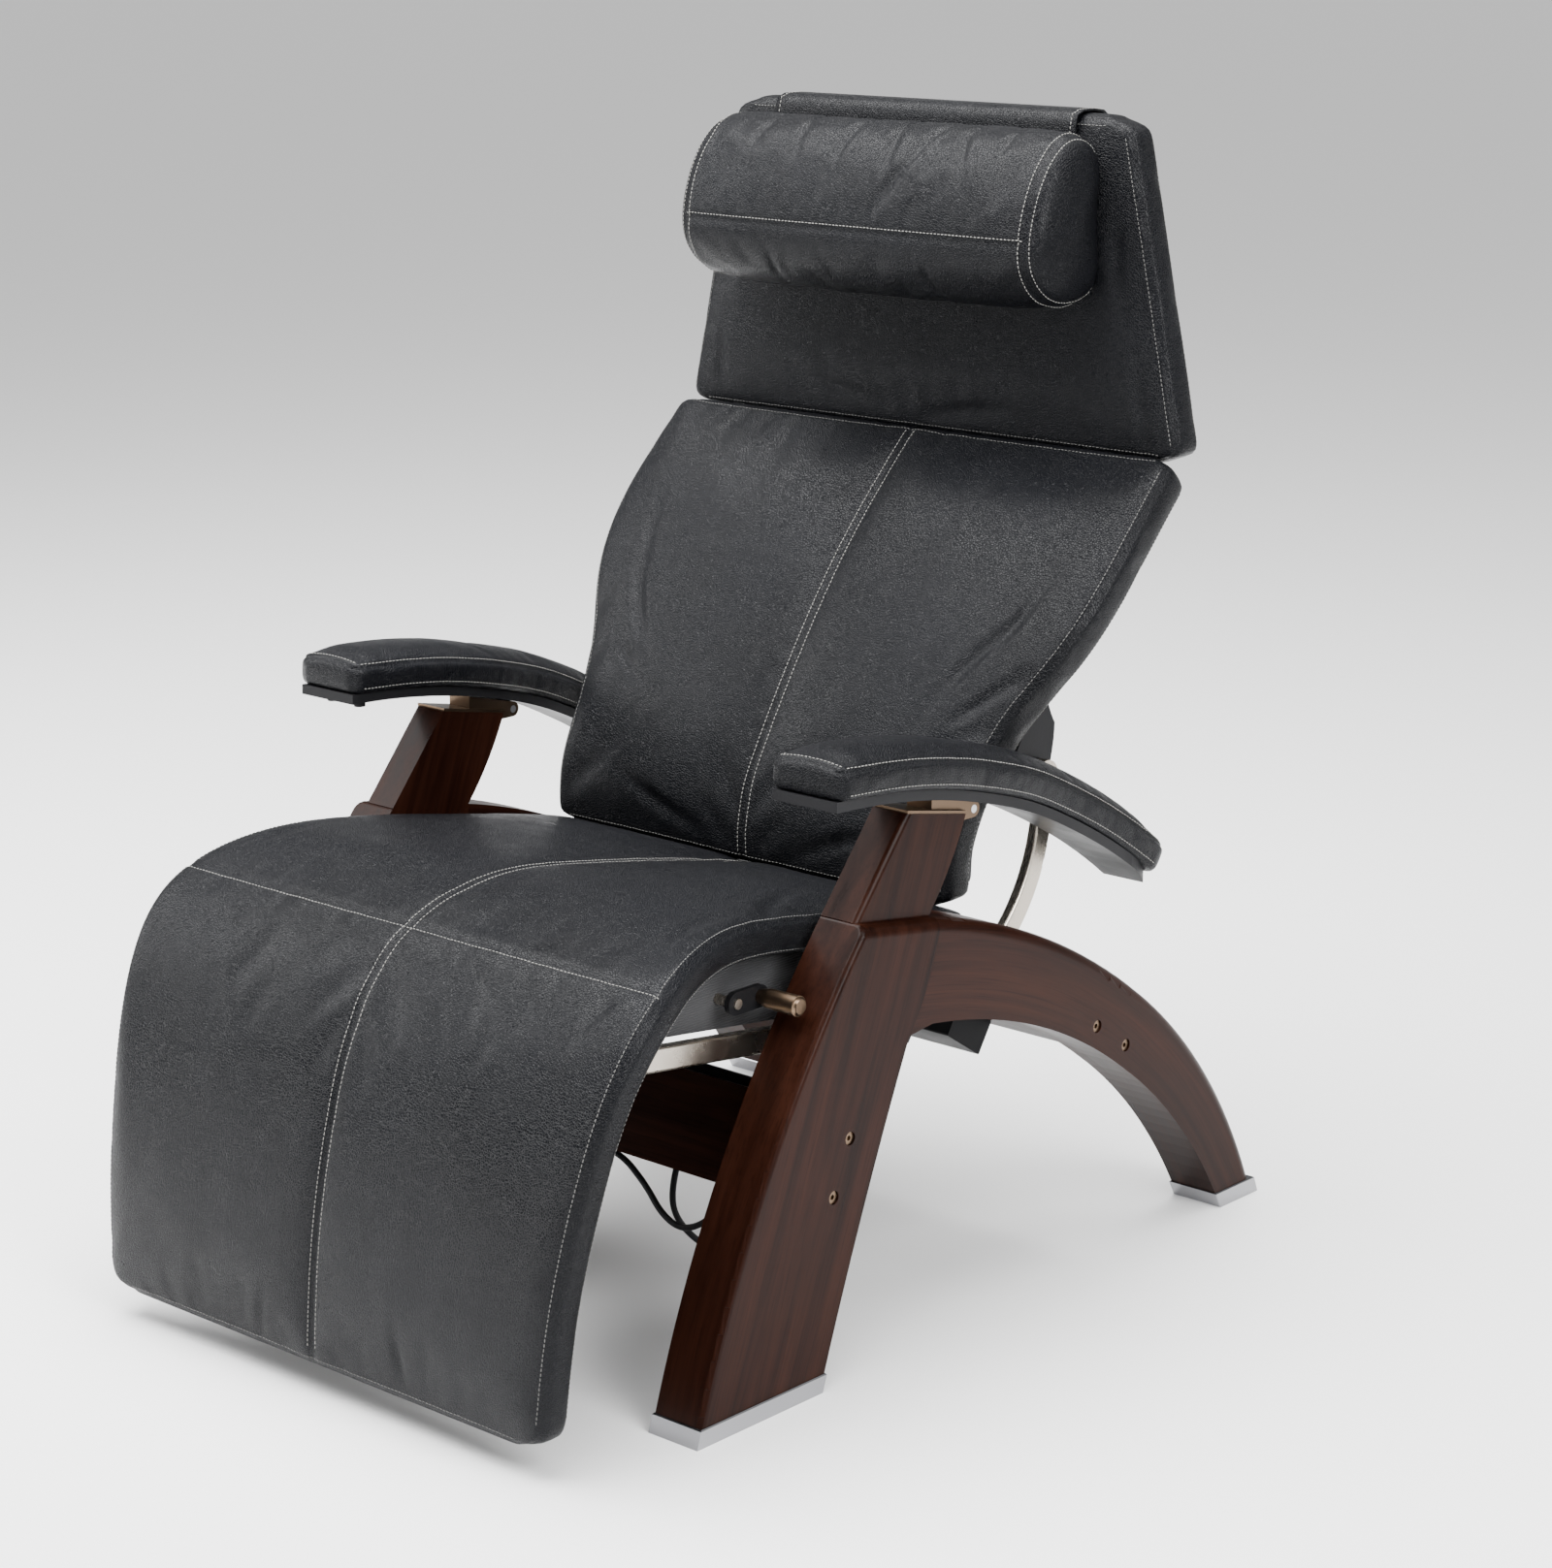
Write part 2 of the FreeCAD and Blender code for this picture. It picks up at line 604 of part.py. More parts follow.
def rail(label):
    """Flat-oval bar, bent under the knees and round behind the back, with an eye for the hinge shaft."""
    body = new_body(label + "_bar")
    path = [(size("rail_toe_y"), size("rail_toe_z")), (size("rail_front_y"), size("rail_front_z")),
            (size("rail_heel_y"), size("rail_heel_z")), shaft]
    pad(body, "side", bent_bar(path, [size("rail_knee_radius"), size("rail_heel_radius")], size("rail_deep")),
        "rail_thick", RAIL_IN)
    sides = [rail_in_x, rail_in_x + size("rail_thick")]
    round_edges(body, lambda e: any(on_face(e, x) for x in sides) and e.Length > 30, "rail_thick / 4")
    eye = cylinder(label + "_eye", "rail_eye", "rail_thick", "x", RAIL_IN, "rail_heel_y", "shaft_z")
    bore = cylinder(label + "_bore", "shaft_radius", "rail_thick + 2", "x", RAIL_IN + " - 1", "rail_heel_y",
                    "shaft_z")
    return minus(label, fused(label + "_blank", [body, eye]), [bore])


def cross_tube(label, y):
    """Round tube between the rails."""
    ends = []
    for name, radius in (("out", "cross_tube_radius"), ("in", "cross_tube_radius - tube_wall")):
        ends.append(cylinder(label + "_" + name, radius, "2 * " + RAIL_IN, "x", "-1 * " + RAIL_IN, "%.4f" % y,
                             "%.4f" % rail_line(y)))
    return minus(label, ends[0], [ends[1]])


def pad_room(name, line, near, far, half):
    """Block of the pad's own side view, to cut what carries the pad to its curve."""
    body = new_body(name)
    pad(body, "side", strip(line, near, far), "2 * " + half, midplane=True)
    return body


def seat_base(label):
    """Fabric-covered box under the seat pad, resting on the cross tubes."""
    lift = size("seat_base_lift")
    front, middle, rear = -345, 0, 96
    body = new_body(label + "_box")
    pad(body, "side", chain((front, rail_line(front) + lift), (middle, rail_line(middle) + lift),
                            (rear, rail_line(rear) + lift + 40), (rear, 430), (front, 430),
                            (front, rail_line(front) + lift)),
        "2 * ( %s - seat_base_gap )" % RAIL_IN, midplane=True)
    room = pad_room(label + "_room", SEAT_LINE, -90, size("pad_thick"), INNER)
    return minus(label, body, [room])


def legrest_board(label):
    body = new_body(label + "_sheet")
    thick = size("pad_thick")
    pad(body, "side", strip(SEAT_LINE[:4], thick, thick + size("board_thick")),
        "2 * ( %s - board_gap )" % RAIL_IN, midplane=True)
    low = box(label + "_trim", "4 * " + RAIL_IN, "400", "60", "-2 * " + RAIL_IN, "-600", "0")
    return minus(label, body, [low, nodes["seat_legrest_pad"], nodes["seat_base"]])


def drive_lever(label):
    """Plate welded under the pivot tube, with a short slot for the actuator's pin."""
    y, z = drive
    root_y, root_z = pivot[0], rail_line(pivot[0])
    body = new_body(label + "_plate")
    pad(body, "side", chain((root_y - 20, root_z), (y - 14, z), (y + 14, z, -14), (root_y + 24, root_z),
                            (root_y - 20, root_z)), "lever_plate_thick", midplane=True)
    run = Vector(pivot[0] - y, pivot[1] - z, 0).normalize()
    side = Vector(-run.y, run.x, 0) * (size("drive_pin_radius") + size("drive_slack"))
    low = Vector(y, z, 0)
    high = low + run * size("drive_slot")
    bow = size("drive_pin_radius") + size("drive_slack")
    cut_through(body, "side", chain((low + side)[:2], (high + side)[:2], (high - side)[:2] + (bow,),
                                    (low - side)[:2], (low + side)[:2] + (bow,)))
    tube = cylinder(label + "_seat", "cross_tube_radius", "100", "x", "-50", "%.4f" % root_y, "%.4f" % root_z)
    return minus(label, body, [tube])


# ---------------------------------------------------------------- pads and their carriers

def both_sides(edges_at):
    """The same closed outline on the right and the left of the middle."""
    edges = []
    for way in (1, -1):
        edges += edges_at(way)
    return edges


def seat_pad(label):
    """One long pad over the seat and down the front of the legs."""
    wide, waist = inner_x + size("pad_over"), inner_x - size("pad_waist_gap")
    foot = inner_x + size("pad_foot_over")
    body = new_body(label)
    pad(body, "side", strip(SEAT_LINE, 0, size("pad_thick")), "2 * ( %s + pad_over )" % INNER, midplane=True)
    far = wide + 60
    cut_through(body, "plan", both_sides(lambda w: chain(
        (w * wide, -360), (w * waist, -205, -9 * w), (w * waist, 200), (w * far, 200), (w * far, -360),
        (w * wide, -360))))
    cut_through(body, "front", both_sides(lambda w: chain(
        (w * wide, 400), (w * foot, 20), (w * foot, 0), (w * far, 0), (w * far, 400), (w * wide, 400))))
    return body


def back_pad(label):
    """Back cushion, narrow between the armrests and wide at the shoulders."""
    wide, waist = inner_x + size("back_over"), inner_x - size("back_waist_gap")
    body = new_body(label)
    pad(body, "side", strip(BACK_LINE, 0, size("back_thick")), "2 * ( %s + back_over )" % INNER,
        midplane=True)
    far = wide + 60
    cut_through(body, "front", both_sides(lambda w: chain(
        (w * waist, 350), (w * waist, 480), (w * (waist + 10), 552, -2 * w), (w * (wide - 13), 665),
        (w * wide, 745, 3 * w), (w * wide, 860), (w * far, 860), (w * far, 350), (w * waist, 350))))
    round_edges(body, lambda e: True, "pad_round")
    return body


def back_shell(label):
    """Fabric-covered shell behind the back cushion."""
    body = new_body(label)
    thick = size("back_thick")
    pad(body, "side", strip(BACK_LINE, thick, thick + size("shell_thick")), "2 * ( %s - shell_gap )" % INNER,
        midplane=True)
    round_edges(body, lambda e: True, "shell_round")
    return body


def back_bracket(label):
    """Steel plate from the hinge shaft to the shell."""
    y, z = shaft
    reach = size("rail_eye")
    body = new_body(label + "_plate")
    pad(body, "side", chain((y + reach, z), (y + reach + 10, z + 50, -2),
                            (y + 10, z + 105, 4), (y - 60, z + 60),
                            (y - 60, z + 10), (y - 8, z - 16), (y + reach, z, -9)),
        "hanger_thick", RAIL_IN + " - hanger_thick - 1")
    bore = cylinder(label + "_bore", "shaft_radius + run_slack", "200", "x", RAIL_IN + " - 100",
                    "rail_heel_y", "shaft_z")
    room = pad_room(label + "_room", BACK_LINE, -120, size("back_thick") + size("shell_thick"), INNER)
    return minus(label, body, [bore, room])


def head_block(label, half_low, half_top, low, top, thick, offset):
    """Tapered slab, standing square behind its front face."""
    body = new_body(label)
    pad(body, "front", chain((-half_low, low), (half_low, low), (half_top, top),
                             (-half_top, top), (-half_low, low)),
        thick, offset)
    return body


def head_pad(label):
    low = inner_x + size("back_over") - 1
    body = head_block(label, low, low - size("head_taper"), size("head_low_z"), size("head_top_z"),
                      "head_thick", "-1 * ( head_front_y + head_thick )")
    round_edges(body, lambda e: abs(e.Vertexes[0].Y - e.Vertexes[-1].Y) > 1, "head_round")
    round_edges(body, lambda e: True, "pad_round")
    return body


def head_board(label):
    half = size("head_board_half")
    return head_block(label, half, half - 40, size("head_low_z") + 35, size("head_top_z") - 25,
                      "head_board_thick",
                      "-1 * ( head_front_y + head_thick + head_board_thick )")


def head_bar(label):
    """Bent flat bar from the head board down the back of the shell."""
    y = size("head_front_y") + size("head_thick") + size("head_board_thick") + size("bar_thick") / 2
    out = size("back_thick") + size("shell_thick") + size("bar_thick") / 2
    low, high = [beside(BACK_LINE, out)[k] for k in (-2, -1)]
    run = ((high[0] - low[0]), (high[1] - low[1]))
    bend = (y, high[1] + (y - high[0]) * run[1] / run[0])
    body = new_body(label + "_strip")
    pad(body, "side", bent_bar([along(low, high, 0.2), bend, (y, size("head_top_z") - 70)], [25],
                               size("bar_thick")),
        "bar_wide", "head_board_half - 36")
    return minus(label, body, [nodes["back_shell"]])


def strap(label):
    """Wide leather strap over the top of the head pad."""
    half = size("strap_thick") / 2
    front = size("head_front_y") - half
    back = size("head_front_y") + size("head_thick") + size("head_board_thick") + half
    top = size("head_top_z") + half
    body = new_body(label)
    pad(body, "side", bent_bar([(front, size("strap_front_low_z")), (front, top), (back, top),
                                (back, size("strap_back_low_z"))], [half + 0.3, half + 0.3],
                                size("strap_thick")),
        "2 * strap_half", midplane=True)
    return body


def pillow(label):
    back = size("head_front_y") - size("strap_thick") - size("pillow_gap")
    low, top, front = size("pillow_low_z"), size("pillow_top_z"), size("pillow_front_y")
    body = new_body(label)
    pad(body, "side", chain((back, low + 8), (back, top - 8), (front + 42, top, -5), (front, low + 68, -10),
                            (front + 28, low, -6), (back, low + 8, -3)), "2 * pillow_half", midplane=True)
    return body


def weight_bag(label):
    """Flat weight on the strap's rear end, which balances the pillow."""
    body = new_body(label)
    half, low = size("weight_half"), size("weight_low_z")
    top = low + size("weight_high")
    pad(body, "front", chain((-half, low), (half, low), (half, top), (-half, top), (-half, low)),
        "weight_thick",
        "-1 * ( head_front_y + head_thick + head_board_thick + strap_thick + side_slack + weight_thick )")
    round_edges(body, lambda e: abs(e.Vertexes[0].Y - e.Vertexes[-1].Y) > 1, "weight_thick / 3")
    return body


# ---------------------------------------------------------------- armrests

def arm_shape(body, inset):
    """Plan of an armrest: narrower beside the back, and round at its rear corner."""
    outer = size("leg_outer_x") + size("arm_over") - inset
    front = size("leg_outer_x") + size("arm_over") - size("arm_wide") + inset
    back = front + size("arm_narrowing")
    cut_through(body, "plan", chain((front, -45), (back, 60), (back, 400), (front - 60, 400),
                                    (front - 60, -45),
                                    (front, -45)))
    cut_through(body, "plan", chain((outer, 262), (outer - 38, 331 - inset, -9), (outer + 60, 331 - inset),
                                    (outer + 60, 262), (outer, 262)))


def arm_pad(label):
    body = new_body(label)
    pad(body, "side", strip(ARM_LINE, -size("arm_crown"), size("arm_thick")), "arm_wide",
        "leg_outer_x + arm_over - arm_wide")
    arm_shape(body, 0)
    return body


def arm_panel(label):
    """Hard panel under the armrest, with pockets for the two buttons."""
    body = new_body(label + "_blank")
    thick = size("arm_thick")
    pad(body, "side", strip(ARM_LINE, thick, thick + size("panel_thick")), "arm_wide - 2 * arm_inset",
        "leg_outer_x + arm_over - arm_wide + arm_inset")
    arm_shape(body, size("arm_inset"))
    pockets = [button(label + "_pocket_" + way, way, "button_slack", "button_travel + 0.3")
               for way in ("inner", "outer")]
    return minus(label, body, pockets)


def button(name, way, slack="0", more="0"):
    return cylinder(name, "button_radius + " + slack, "button_high + " + more, "z",
                    "leg_outer_x + arm_over - arm_wide + button_" + way, "button_y", "button_z")


def arm_tongue(label):
    """Steel lug under the panel that turns on the arm pin."""
    start = INNER + " + block_gap + block_wide / 2 - slot_wide / 2 + side_slack"
    wide = "slot_wide - 2 * side_slack"
    disc = cylinder(label + "_eye", "block_nose - 1", wide, "x", start, "arm_pin_y", "arm_pin_z")
    neck = box(label + "_neck", wide, "neck_wide", "neck_high", start, "arm_pin_y - neck_wide / 2",
               "arm_pin_z")
    bore = cylinder(label + "_bore", "arm_pin_radius + run_slack", "100", "x", INNER, "arm_pin_y",
                    "arm_pin_z")
    side = label.split("_")[0]
    return minus(label, fused(label + "_blank", [disc, neck]), [bore, nodes[side + "_arm_panel"],
                                                                nodes[side + "_arm_pad"]])


def hinge_block(label):
    """Plate on the post's top and the slotted block behind it that holds the arm pin."""
    plate = size("plate_thick")
    front, back = size("post_top_front_y") + 2, size("post_top_back_y") + 3
    start, pin_y, pin_z, nose = size("block_front_y"), size("arm_pin_y"), size("arm_pin_z"), size("block_nose")
    block = new_body(label + "_block")
    pad(block, "side", chain((start, post_top(start) + plate),
                             (start, post_top(start) + plate + size("block_high")),
                             (pin_y, pin_z + nose), (pin_y, pin_z - nose, nose), (back, pin_z - nose),
                             (back, post_top(back) + plate), (start, post_top(start) + plate)),
        "block_wide", INNER + " + block_gap")
    foot = new_body(label + "_foot")
    pad(foot, "side", chain((front, post_top(front)), (front, post_top(front) + plate),
                            (back, post_top(back) + plate),
                            (back, post_top(back)), (front, post_top(front))), "post_thick - 2",
                            INNER + " + 1")
    slot = box(label + "_slot", "slot_wide", "60", "60",
               INNER + " + block_gap + block_wide / 2 - slot_wide / 2",
               "arm_pin_y - block_nose - 3", "arm_pin_z - 30")
    pin = cylinder(label + "_pin_hole", "arm_pin_radius", "100", "x", INNER, "arm_pin_y", "arm_pin_z")
    return minus(label, fused(label + "_blank", [block, foot]), [slot, pin])


def arm_pins():
    left = cylinder("left_arm_pin", "arm_pin_radius", "block_wide", "x", INNER + " + block_gap", "arm_pin_y",
                    "arm_pin_z")
    return group("arm_pins", [left, mirrored("right_arm_pin", left)])


# ---------------------------------------------------------------- lock lever

def lever_arm(label):
    """Black arm from the lever's pin to the foot of its grip."""
    y, z, reach = size("lever_hub_y"), size("lever_hub_z"), size("lever_hub_radius")
    body = new_body(label + "_plate")
    pad(body, "side", chain((y, z - reach), (y + size("lever_arm"), z - reach),
                            (y + size("lever_arm"), z + reach, -reach), (y, z + reach),
                            (y, z - reach, -reach)),
        "lever_plate", RAIL_OUT + " + 2")
    bore = cylinder(label + "_bore", "lever_pin_radius + run_slack", "60", "x", RAIL_IN, "lever_hub_y",
                    "lever_hub_z")
    return minus(label, body, [bore])


def lever_grip(label):
    grip = doc.addObject("PartDesign::Body", label)
    grip.Label = label
    y, z, radius = size("lever_hub_y") + size("lever_arm"), size("lever_hub_z"), size("grip_radius")
    start = rail_in_x + size("rail_thick") + 2 + size("lever_plate")
    tip = start + size("grip_long")
    sketch = new_sketch(grip, "plan", chain((start, y), (tip, y), (tip, y + radius - 3),
                                            (tip - 3, y + radius, 0.9), (start + 12, y + radius - 0.5),
                                            (start, y + radius - 3), (start, y)), "lever_hub_z")
    turn = grip.newObject("PartDesign::Revolution", label + "_turn")
    turn.Profile = sketch
    turn.ReferenceAxis = (sketch, ["Edge1"])
    turn.Angle = 360
    doc.recompute()
    return grip


# ---------------------------------------------------------------- actuator

def actuator_body(label):
    """Gearbox with its eye, and the tube that guides the rod."""
    z = "%.4f" % drive[1]
    case = box(label + "_case", "2 * eye_half + motor_x", "44", "42", "-1 * eye_half - 4", "gearbox_front_y",
               z + " - 21")
    eye = box(label + "_eye", "2 * eye_half", "anchor_y - gearbox_front_y - 44", "24", "-1 * eye_half",
              "gearbox_front_y + 44", z + " - 12")
    end = cylinder(label + "_end", "12", "2 * eye_half", "x", "-1 * eye_half", "anchor_y", z)
    tube = cylinder(label + "_tube", "tube_radius", "gearbox_front_y - tube_front_y", "y", "0",
                    "tube_front_y", z)
    bore = cylinder(label + "_bore", "rod_radius + rod_slack", "gearbox_front_y - tube_front_y", "y", "0",
                    "tube_front_y", z)
    pin = cylinder(label + "_pin_hole", "drive_pin_radius + run_slack", "100", "x", "-50", "anchor_y", z)
    return minus(label, fused(label + "_blank", [case, eye, end, tube]), [bore, pin])


def actuator_motor(label):
    z = "%.4f" % drive[1]
    return cylinder(label, "motor_radius", "motor_long", "y", "motor_x", "gearbox_front_y - motor_long", z)


def actuator_rod(label):
    """Rod with the fork that holds the drive pin."""
    y, z = drive
    text = "%.4f" % z
    start = "%.4f" % (y + 30)
    rod = cylinder(label + "_bar", "rod_radius", "gearbox_front_y - 6 - " + start, "y", "0", start, text)
    base = box(label + "_base", "2 * ( lever_plate_thick / 2 + 1 + fork_cheek )", "10", "fork_high",
               "-1 * ( lever_plate_thick / 2 + 1 + fork_cheek )", "%.4f" % (y + 20),
               text + " - fork_high / 2")
    cheeks = []
    for way in ("left", "right"):
        x = "lever_plate_thick / 2 + 1" if way == "left" else "-1 * ( lever_plate_thick / 2 + 1 + fork_cheek )"
        cheeks.append(box(label + "_cheek_" + way, "fork_cheek", "32", "fork_high", x, "%.4f" % (y - 12),
                          text + " - fork_high / 2"))
    pin = cylinder(label + "_pin_hole", "drive_pin_radius", "60", "x", "-30", "%.4f" % y, text)
    return minus(label, fused(label + "_blank", [rod, base] + cheeks), [pin])


def drive_pin(label):
    return cylinder(label, "drive_pin_radius", "lever_plate_thick + 2 + 2 * fork_cheek", "x",
                    "-1 * ( lever_plate_thick / 2 + 1 + fork_cheek )", "%.4f" % drive[0], "%.4f" % drive[1])


def actuator_bracket(label):
    """Clevis on the front edge of the rear stretcher."""
    y, z = size("anchor_y"), drive[1]
    body = new_body(label + "_block")
    pad(body, "side", chain((y - 12, z - 12), (y - 12, z + 12), (y + 20, z + 12), (y + 34, z + 4),
                            (y + 40, z - 24), (y + 10, z - 22), (y - 12, z - 12)),
        "2 * ( eye_half + side_slack + cheek_thick )", midplane=True)
    gap = box(label + "_gap", "2 * ( eye_half + side_slack )", "28", "80", "-1 * ( eye_half + side_slack )",
              "anchor_y - 14", "%.4f" % (z - 40))
    pin = cylinder(label + "_pin_hole", "drive_pin_radius", "80", "x", "-40", "anchor_y", "%.4f" % z)
    return minus(label, body, [gap, pin, nodes["rear_stretcher"]])


def anchor_pin(label):
    return cylinder(label, "drive_pin_radius", "2 * ( eye_half + side_slack + cheek_thick + 2 )", "x",
                    "-1 * ( eye_half + side_slack + cheek_thick + 2 )", "anchor_y", "%.4f" % drive[1])


# ---------------------------------------------------------------- electrics

def tilted(frame, points):
    """Side-view places of points given along and up a tilted stretcher."""
    places = [frame.multVec(Vector(0, y, z)) for y, z in points]
    return [(p.y, p.z) for p in places]


def case(label, frame, near, far, low, high, start, long):
    """Box with soft edges, screwed to the flat of a stretcher."""
    corners = tilted(frame, [(near, low), (far, low), (far, high), (near, high), (near, low)])
    body = new_body(label)
    pad(body, "side", chain(*corners), long, start)
    round_edges(body, lambda e: abs(e.Vertexes[0].X - e.Vertexes[-1].X) > 1, "cap_wall")
    return body


def control_box(label, frame):
    near = size("stretcher_thick") / 2
    high = size("stretcher_high") / 2 + size("box_over")
    return case(label, frame, near, near + size("box_deep"), high - size("box_high"), high, "box_x",
                "box_wide")


def supply_box(label, frame):
    """Power supply with a socket for the mains lead in its end."""
    near, half = -size("stretcher_thick") / 2, size("supply_long") / 2
    body = case(label + "_case", frame, near - size("supply_high"), near, -half, half, "supply_x",
                "supply_wide")
    middle = near - size("supply_high") / 2
    inlet = new_body(label + "_inlet")
    pad(inlet, "side", chain(*tilted(frame, [(middle - 9, -12), (middle + 9, -12), (middle + 9, 12),
                                             (middle - 9, 12),
                                             (middle - 9, -12)])), "16", "supply_x - 1")
    return minus(label, body, [inlet])


def gland(label, place, way):
    """Cable gland that starts at the place and points along way; gives the piece and its outer end."""
    piece = doc.addObject("Part::Cylinder", label)
    bind(piece, Radius="gland_radius", Height="gland_long")
    piece.Placement = Placement(place, Rotation(Vector(0, 0, 1), way))
    return piece, place + way * size("gland_long")


def cable(label, points):
    """Cable as straight runs joined by tangent arcs."""
    runs = [b - a for a, b in zip(points[:-1], points[1:])]
    edges, here, radii = [], points[0], []
    for corner, before, after in zip(points[1:-1], runs[:-1], runs[1:]):
        half = before.getAngle(after) / 2
        cut = 0.45 * min(before.Length, after.Length)
        radii.append(cut / math.tan(half))
        start, end = corner - before.normalize() * cut, corner + Vector(after).normalize() * cut
        inward = (start + end) * 0.5 - corner
        depth = radii[-1] * (1 / math.cos(half) - 1)
        edges += [Part.LineSegment(here, start).toShape(),
                  Part.Arc(start, corner + inward.normalize() * depth, end).toShape()]
        here = end
    edges.append(Part.LineSegment(here, points[-1]).toShape())
    spine = Part.Wire(edges)
    section = Part.Wire(Part.Circle(points[0], points[1] - points[0], size("cable_radius")).toShape())
    solid = spine.makePipeShell([section], True, False, 1)
    expected = spine.Length * math.pi * size("cable_radius") ** 2
    if abs(solid.Volume / expected - 1) > 0.02:
        raise RuntimeError(label + ": the swept volume is wrong")
    print(label, "length %.0f, bend radii" % spine.Length, [round(r) for r in radii])
    piece = doc.addObject("Part::Feature", label)
    piece.Shape = solid
    return piece


def build_electrics():
    """Control box, power supply, and the two cables that hang between the stretchers."""
    front, rear = frames["front_stretcher"], frames["rear_stretcher"]
    keep(control_box("control_box", front))
    keep(supply_box("supply_box", rear))
    down = front.Rotation.multVec(Vector(0, 0, -1))
    out = rear.Rotation.multVec(Vector(0, -1, 0))
    deep = size("stretcher_thick") / 2 + size("box_deep") - 8
    low = size("stretcher_high") / 2 + size("box_over") - size("box_high")
    under = -size("stretcher_thick") / 2 - size("supply_high")
    across = Vector(1, 0, 0)
    starts = [(front.multVec(Vector(size("cable_x"), deep, low)), down),
              (front.multVec(Vector(size("harness_x"), deep, low)), down),
              (rear.multVec(Vector(size("box_x"), under, 0)), out),
              (Vector(-inner_x, -140, 205), across)]
    glands, ends = zip(*[gland("gland_%d" % k, place, way) for k, (place, way) in enumerate(starts)])
    keep(group("cable_glands", list(glands)))
    hang = [(122, -151, 102), (131, -115, 62), (118, -52, 38), (129, 10, 33), (119, 74, 42), (134, 125, 74),
            (118, 165, 112)]
    keep(cable("supply_cable", [ends[0], ends[0] + down * 28] + [Vector(*p) for p in hang]
               + [ends[2] + out * 38, ends[2]]))
    cross = [(-250, -140, 205), (-196, -146, 184), (-122, -133, 164), (-42, -141, 153), (30, -134, 146),
             (82, -150, 128), (122, -170, 113), (155, -176, 106), (184, -171, 120)]
    keep(cable("harness_cable", [ends[3]] + [Vector(*p) for p in cross] + [ends[1] + down * 24, ends[1]]))


# ---------------------------------------------------------------- the whole chair

def build_base():
    left = keep(leg("left_front_leg"))
    keep(mirrored("right_front_leg", left))
    left_arch = keep(arch("left_rear_arch"))
    keep(mirrored("right_rear_arch", left_arch))
    front, *_, back, _ = leg_edges()
    run_front = front.tangent(front.FirstParameter)[0]
    run_back = back.tangent(back.LastParameter)[0]
    fore = cap("left_front_foot_cap", left, size("foot_front_y"), run_front.x / run_front.y,
               size("foot_back_y"), run_back.x / run_back.y)
    keep(group("front_foot_caps", [fore, mirrored("right_front_foot_cap", fore)]))
    edges = arch_edges()
    run_out = edges[1].tangent(edges[1].LastParameter)[0]
    run_in = edges[3].tangent(edges[3].FirstParameter)[0]
    aft = cap("left_rear_foot_cap", left_arch, size("arch_heel_y"), run_in.x / run_in.y,
              size("arch_back_y"), run_out.x / run_out.y)
    keep(group("rear_foot_caps", [aft, mirrored("right_rear_foot_cap", aft)]))
    stretcher_piece("front_stretcher", BOLTS[0], BOLTS[1])
    stretcher_piece("rear_stretcher", BOLTS[2], BOLTS[3])
    keep(bolt_set())
    keep(barrel_nuts())
    pegs = dowels("left_dowel", "0")
    keep(group("joint_dowels", pegs + [mirrored("other_" + p.Label, p) for p in pegs]))
    keep_both(flange, "pivot_flange")
    left_pin = pivot_pin("left_pivot_pin")
    keep(group("pivot_pins", [left_pin, mirrored("right_pivot_pin", left_pin)]))
    left_screws = pivot_screws("left_screws")
    keep(group("flange_screws", [left_screws, mirrored("right_screws", left_screws)]))
    keep_pair(hinge_block, "arm_hinge_block")
    keep(arm_pins())


def build_seat():
    keep(seat_pad("seat_legrest_pad"))
    keep(seat_base("seat_base"))
    keep(legrest_board("legrest_board"))
    keep_pair(rail, "side_rail")
    keep_both(hanger, "hanger_plate")
    keep(cross_tube("front_cross_tube", size("front_tube_y")))
    keep(cross_tube("pivot_cross_tube", pivot[0]))
    keep(drive_lever("drive_lever"))
    keep(cylinder("back_hinge_shaft", "shaft_radius", "2 * ( %s + shaft_over )" % RAIL_OUT, "x",
                  "-1 * ( %s + shaft_over )" % RAIL_OUT, "rail_heel_y", "shaft_z"))
    keep(cylinder("lock_lever_pin", "lever_pin_radius", "seat_base_gap + rail_thick + lever_plate + 4", "x",
                  RAIL_IN + " - seat_base_gap", "lever_hub_y", "lever_hub_z"))


def build_back():
    keep(back_pad("back_pad"))
    keep(back_shell("back_shell"))
    keep_both(back_bracket, "back_bracket")
    keep(head_pad("head_pad"))
    keep(head_board("head_board"))
    keep_both(head_bar, "head_bar")
    keep(strap("pillow_strap"))
    keep(pillow("head_pillow"))
    keep(weight_bag("strap_weight"))


def build_arms():
    for side in ("left", "right"):
        for make, name in ((arm_pad, "arm_pad"), (arm_panel, "arm_panel"), (arm_tongue, "arm_tongue")):
            label = side + "_" + name
            keep(make(label) if side == "left" else mirrored(label, nodes["left_" + name]))
        for way in ("inner", "outer"):
            label = side + "_" + way + "_button"
            keep(button(label, way) if side == "left" else mirrored(label, nodes["left_" + way + "_button"]))


def build_controls():
    keep(lever_arm("lock_lever_arm"))
    keep(lever_grip("lock_lever_grip"))
    keep(actuator_bracket("actuator_bracket"))
    keep(anchor_pin("actuator_anchor_pin"))
    keep(actuator_body("actuator_gearbox"))
    keep(actuator_motor("actuator_motor"))
    keep(actuator_rod("actuator_rod"))
    keep(drive_pin("actuator_drive_pin"))


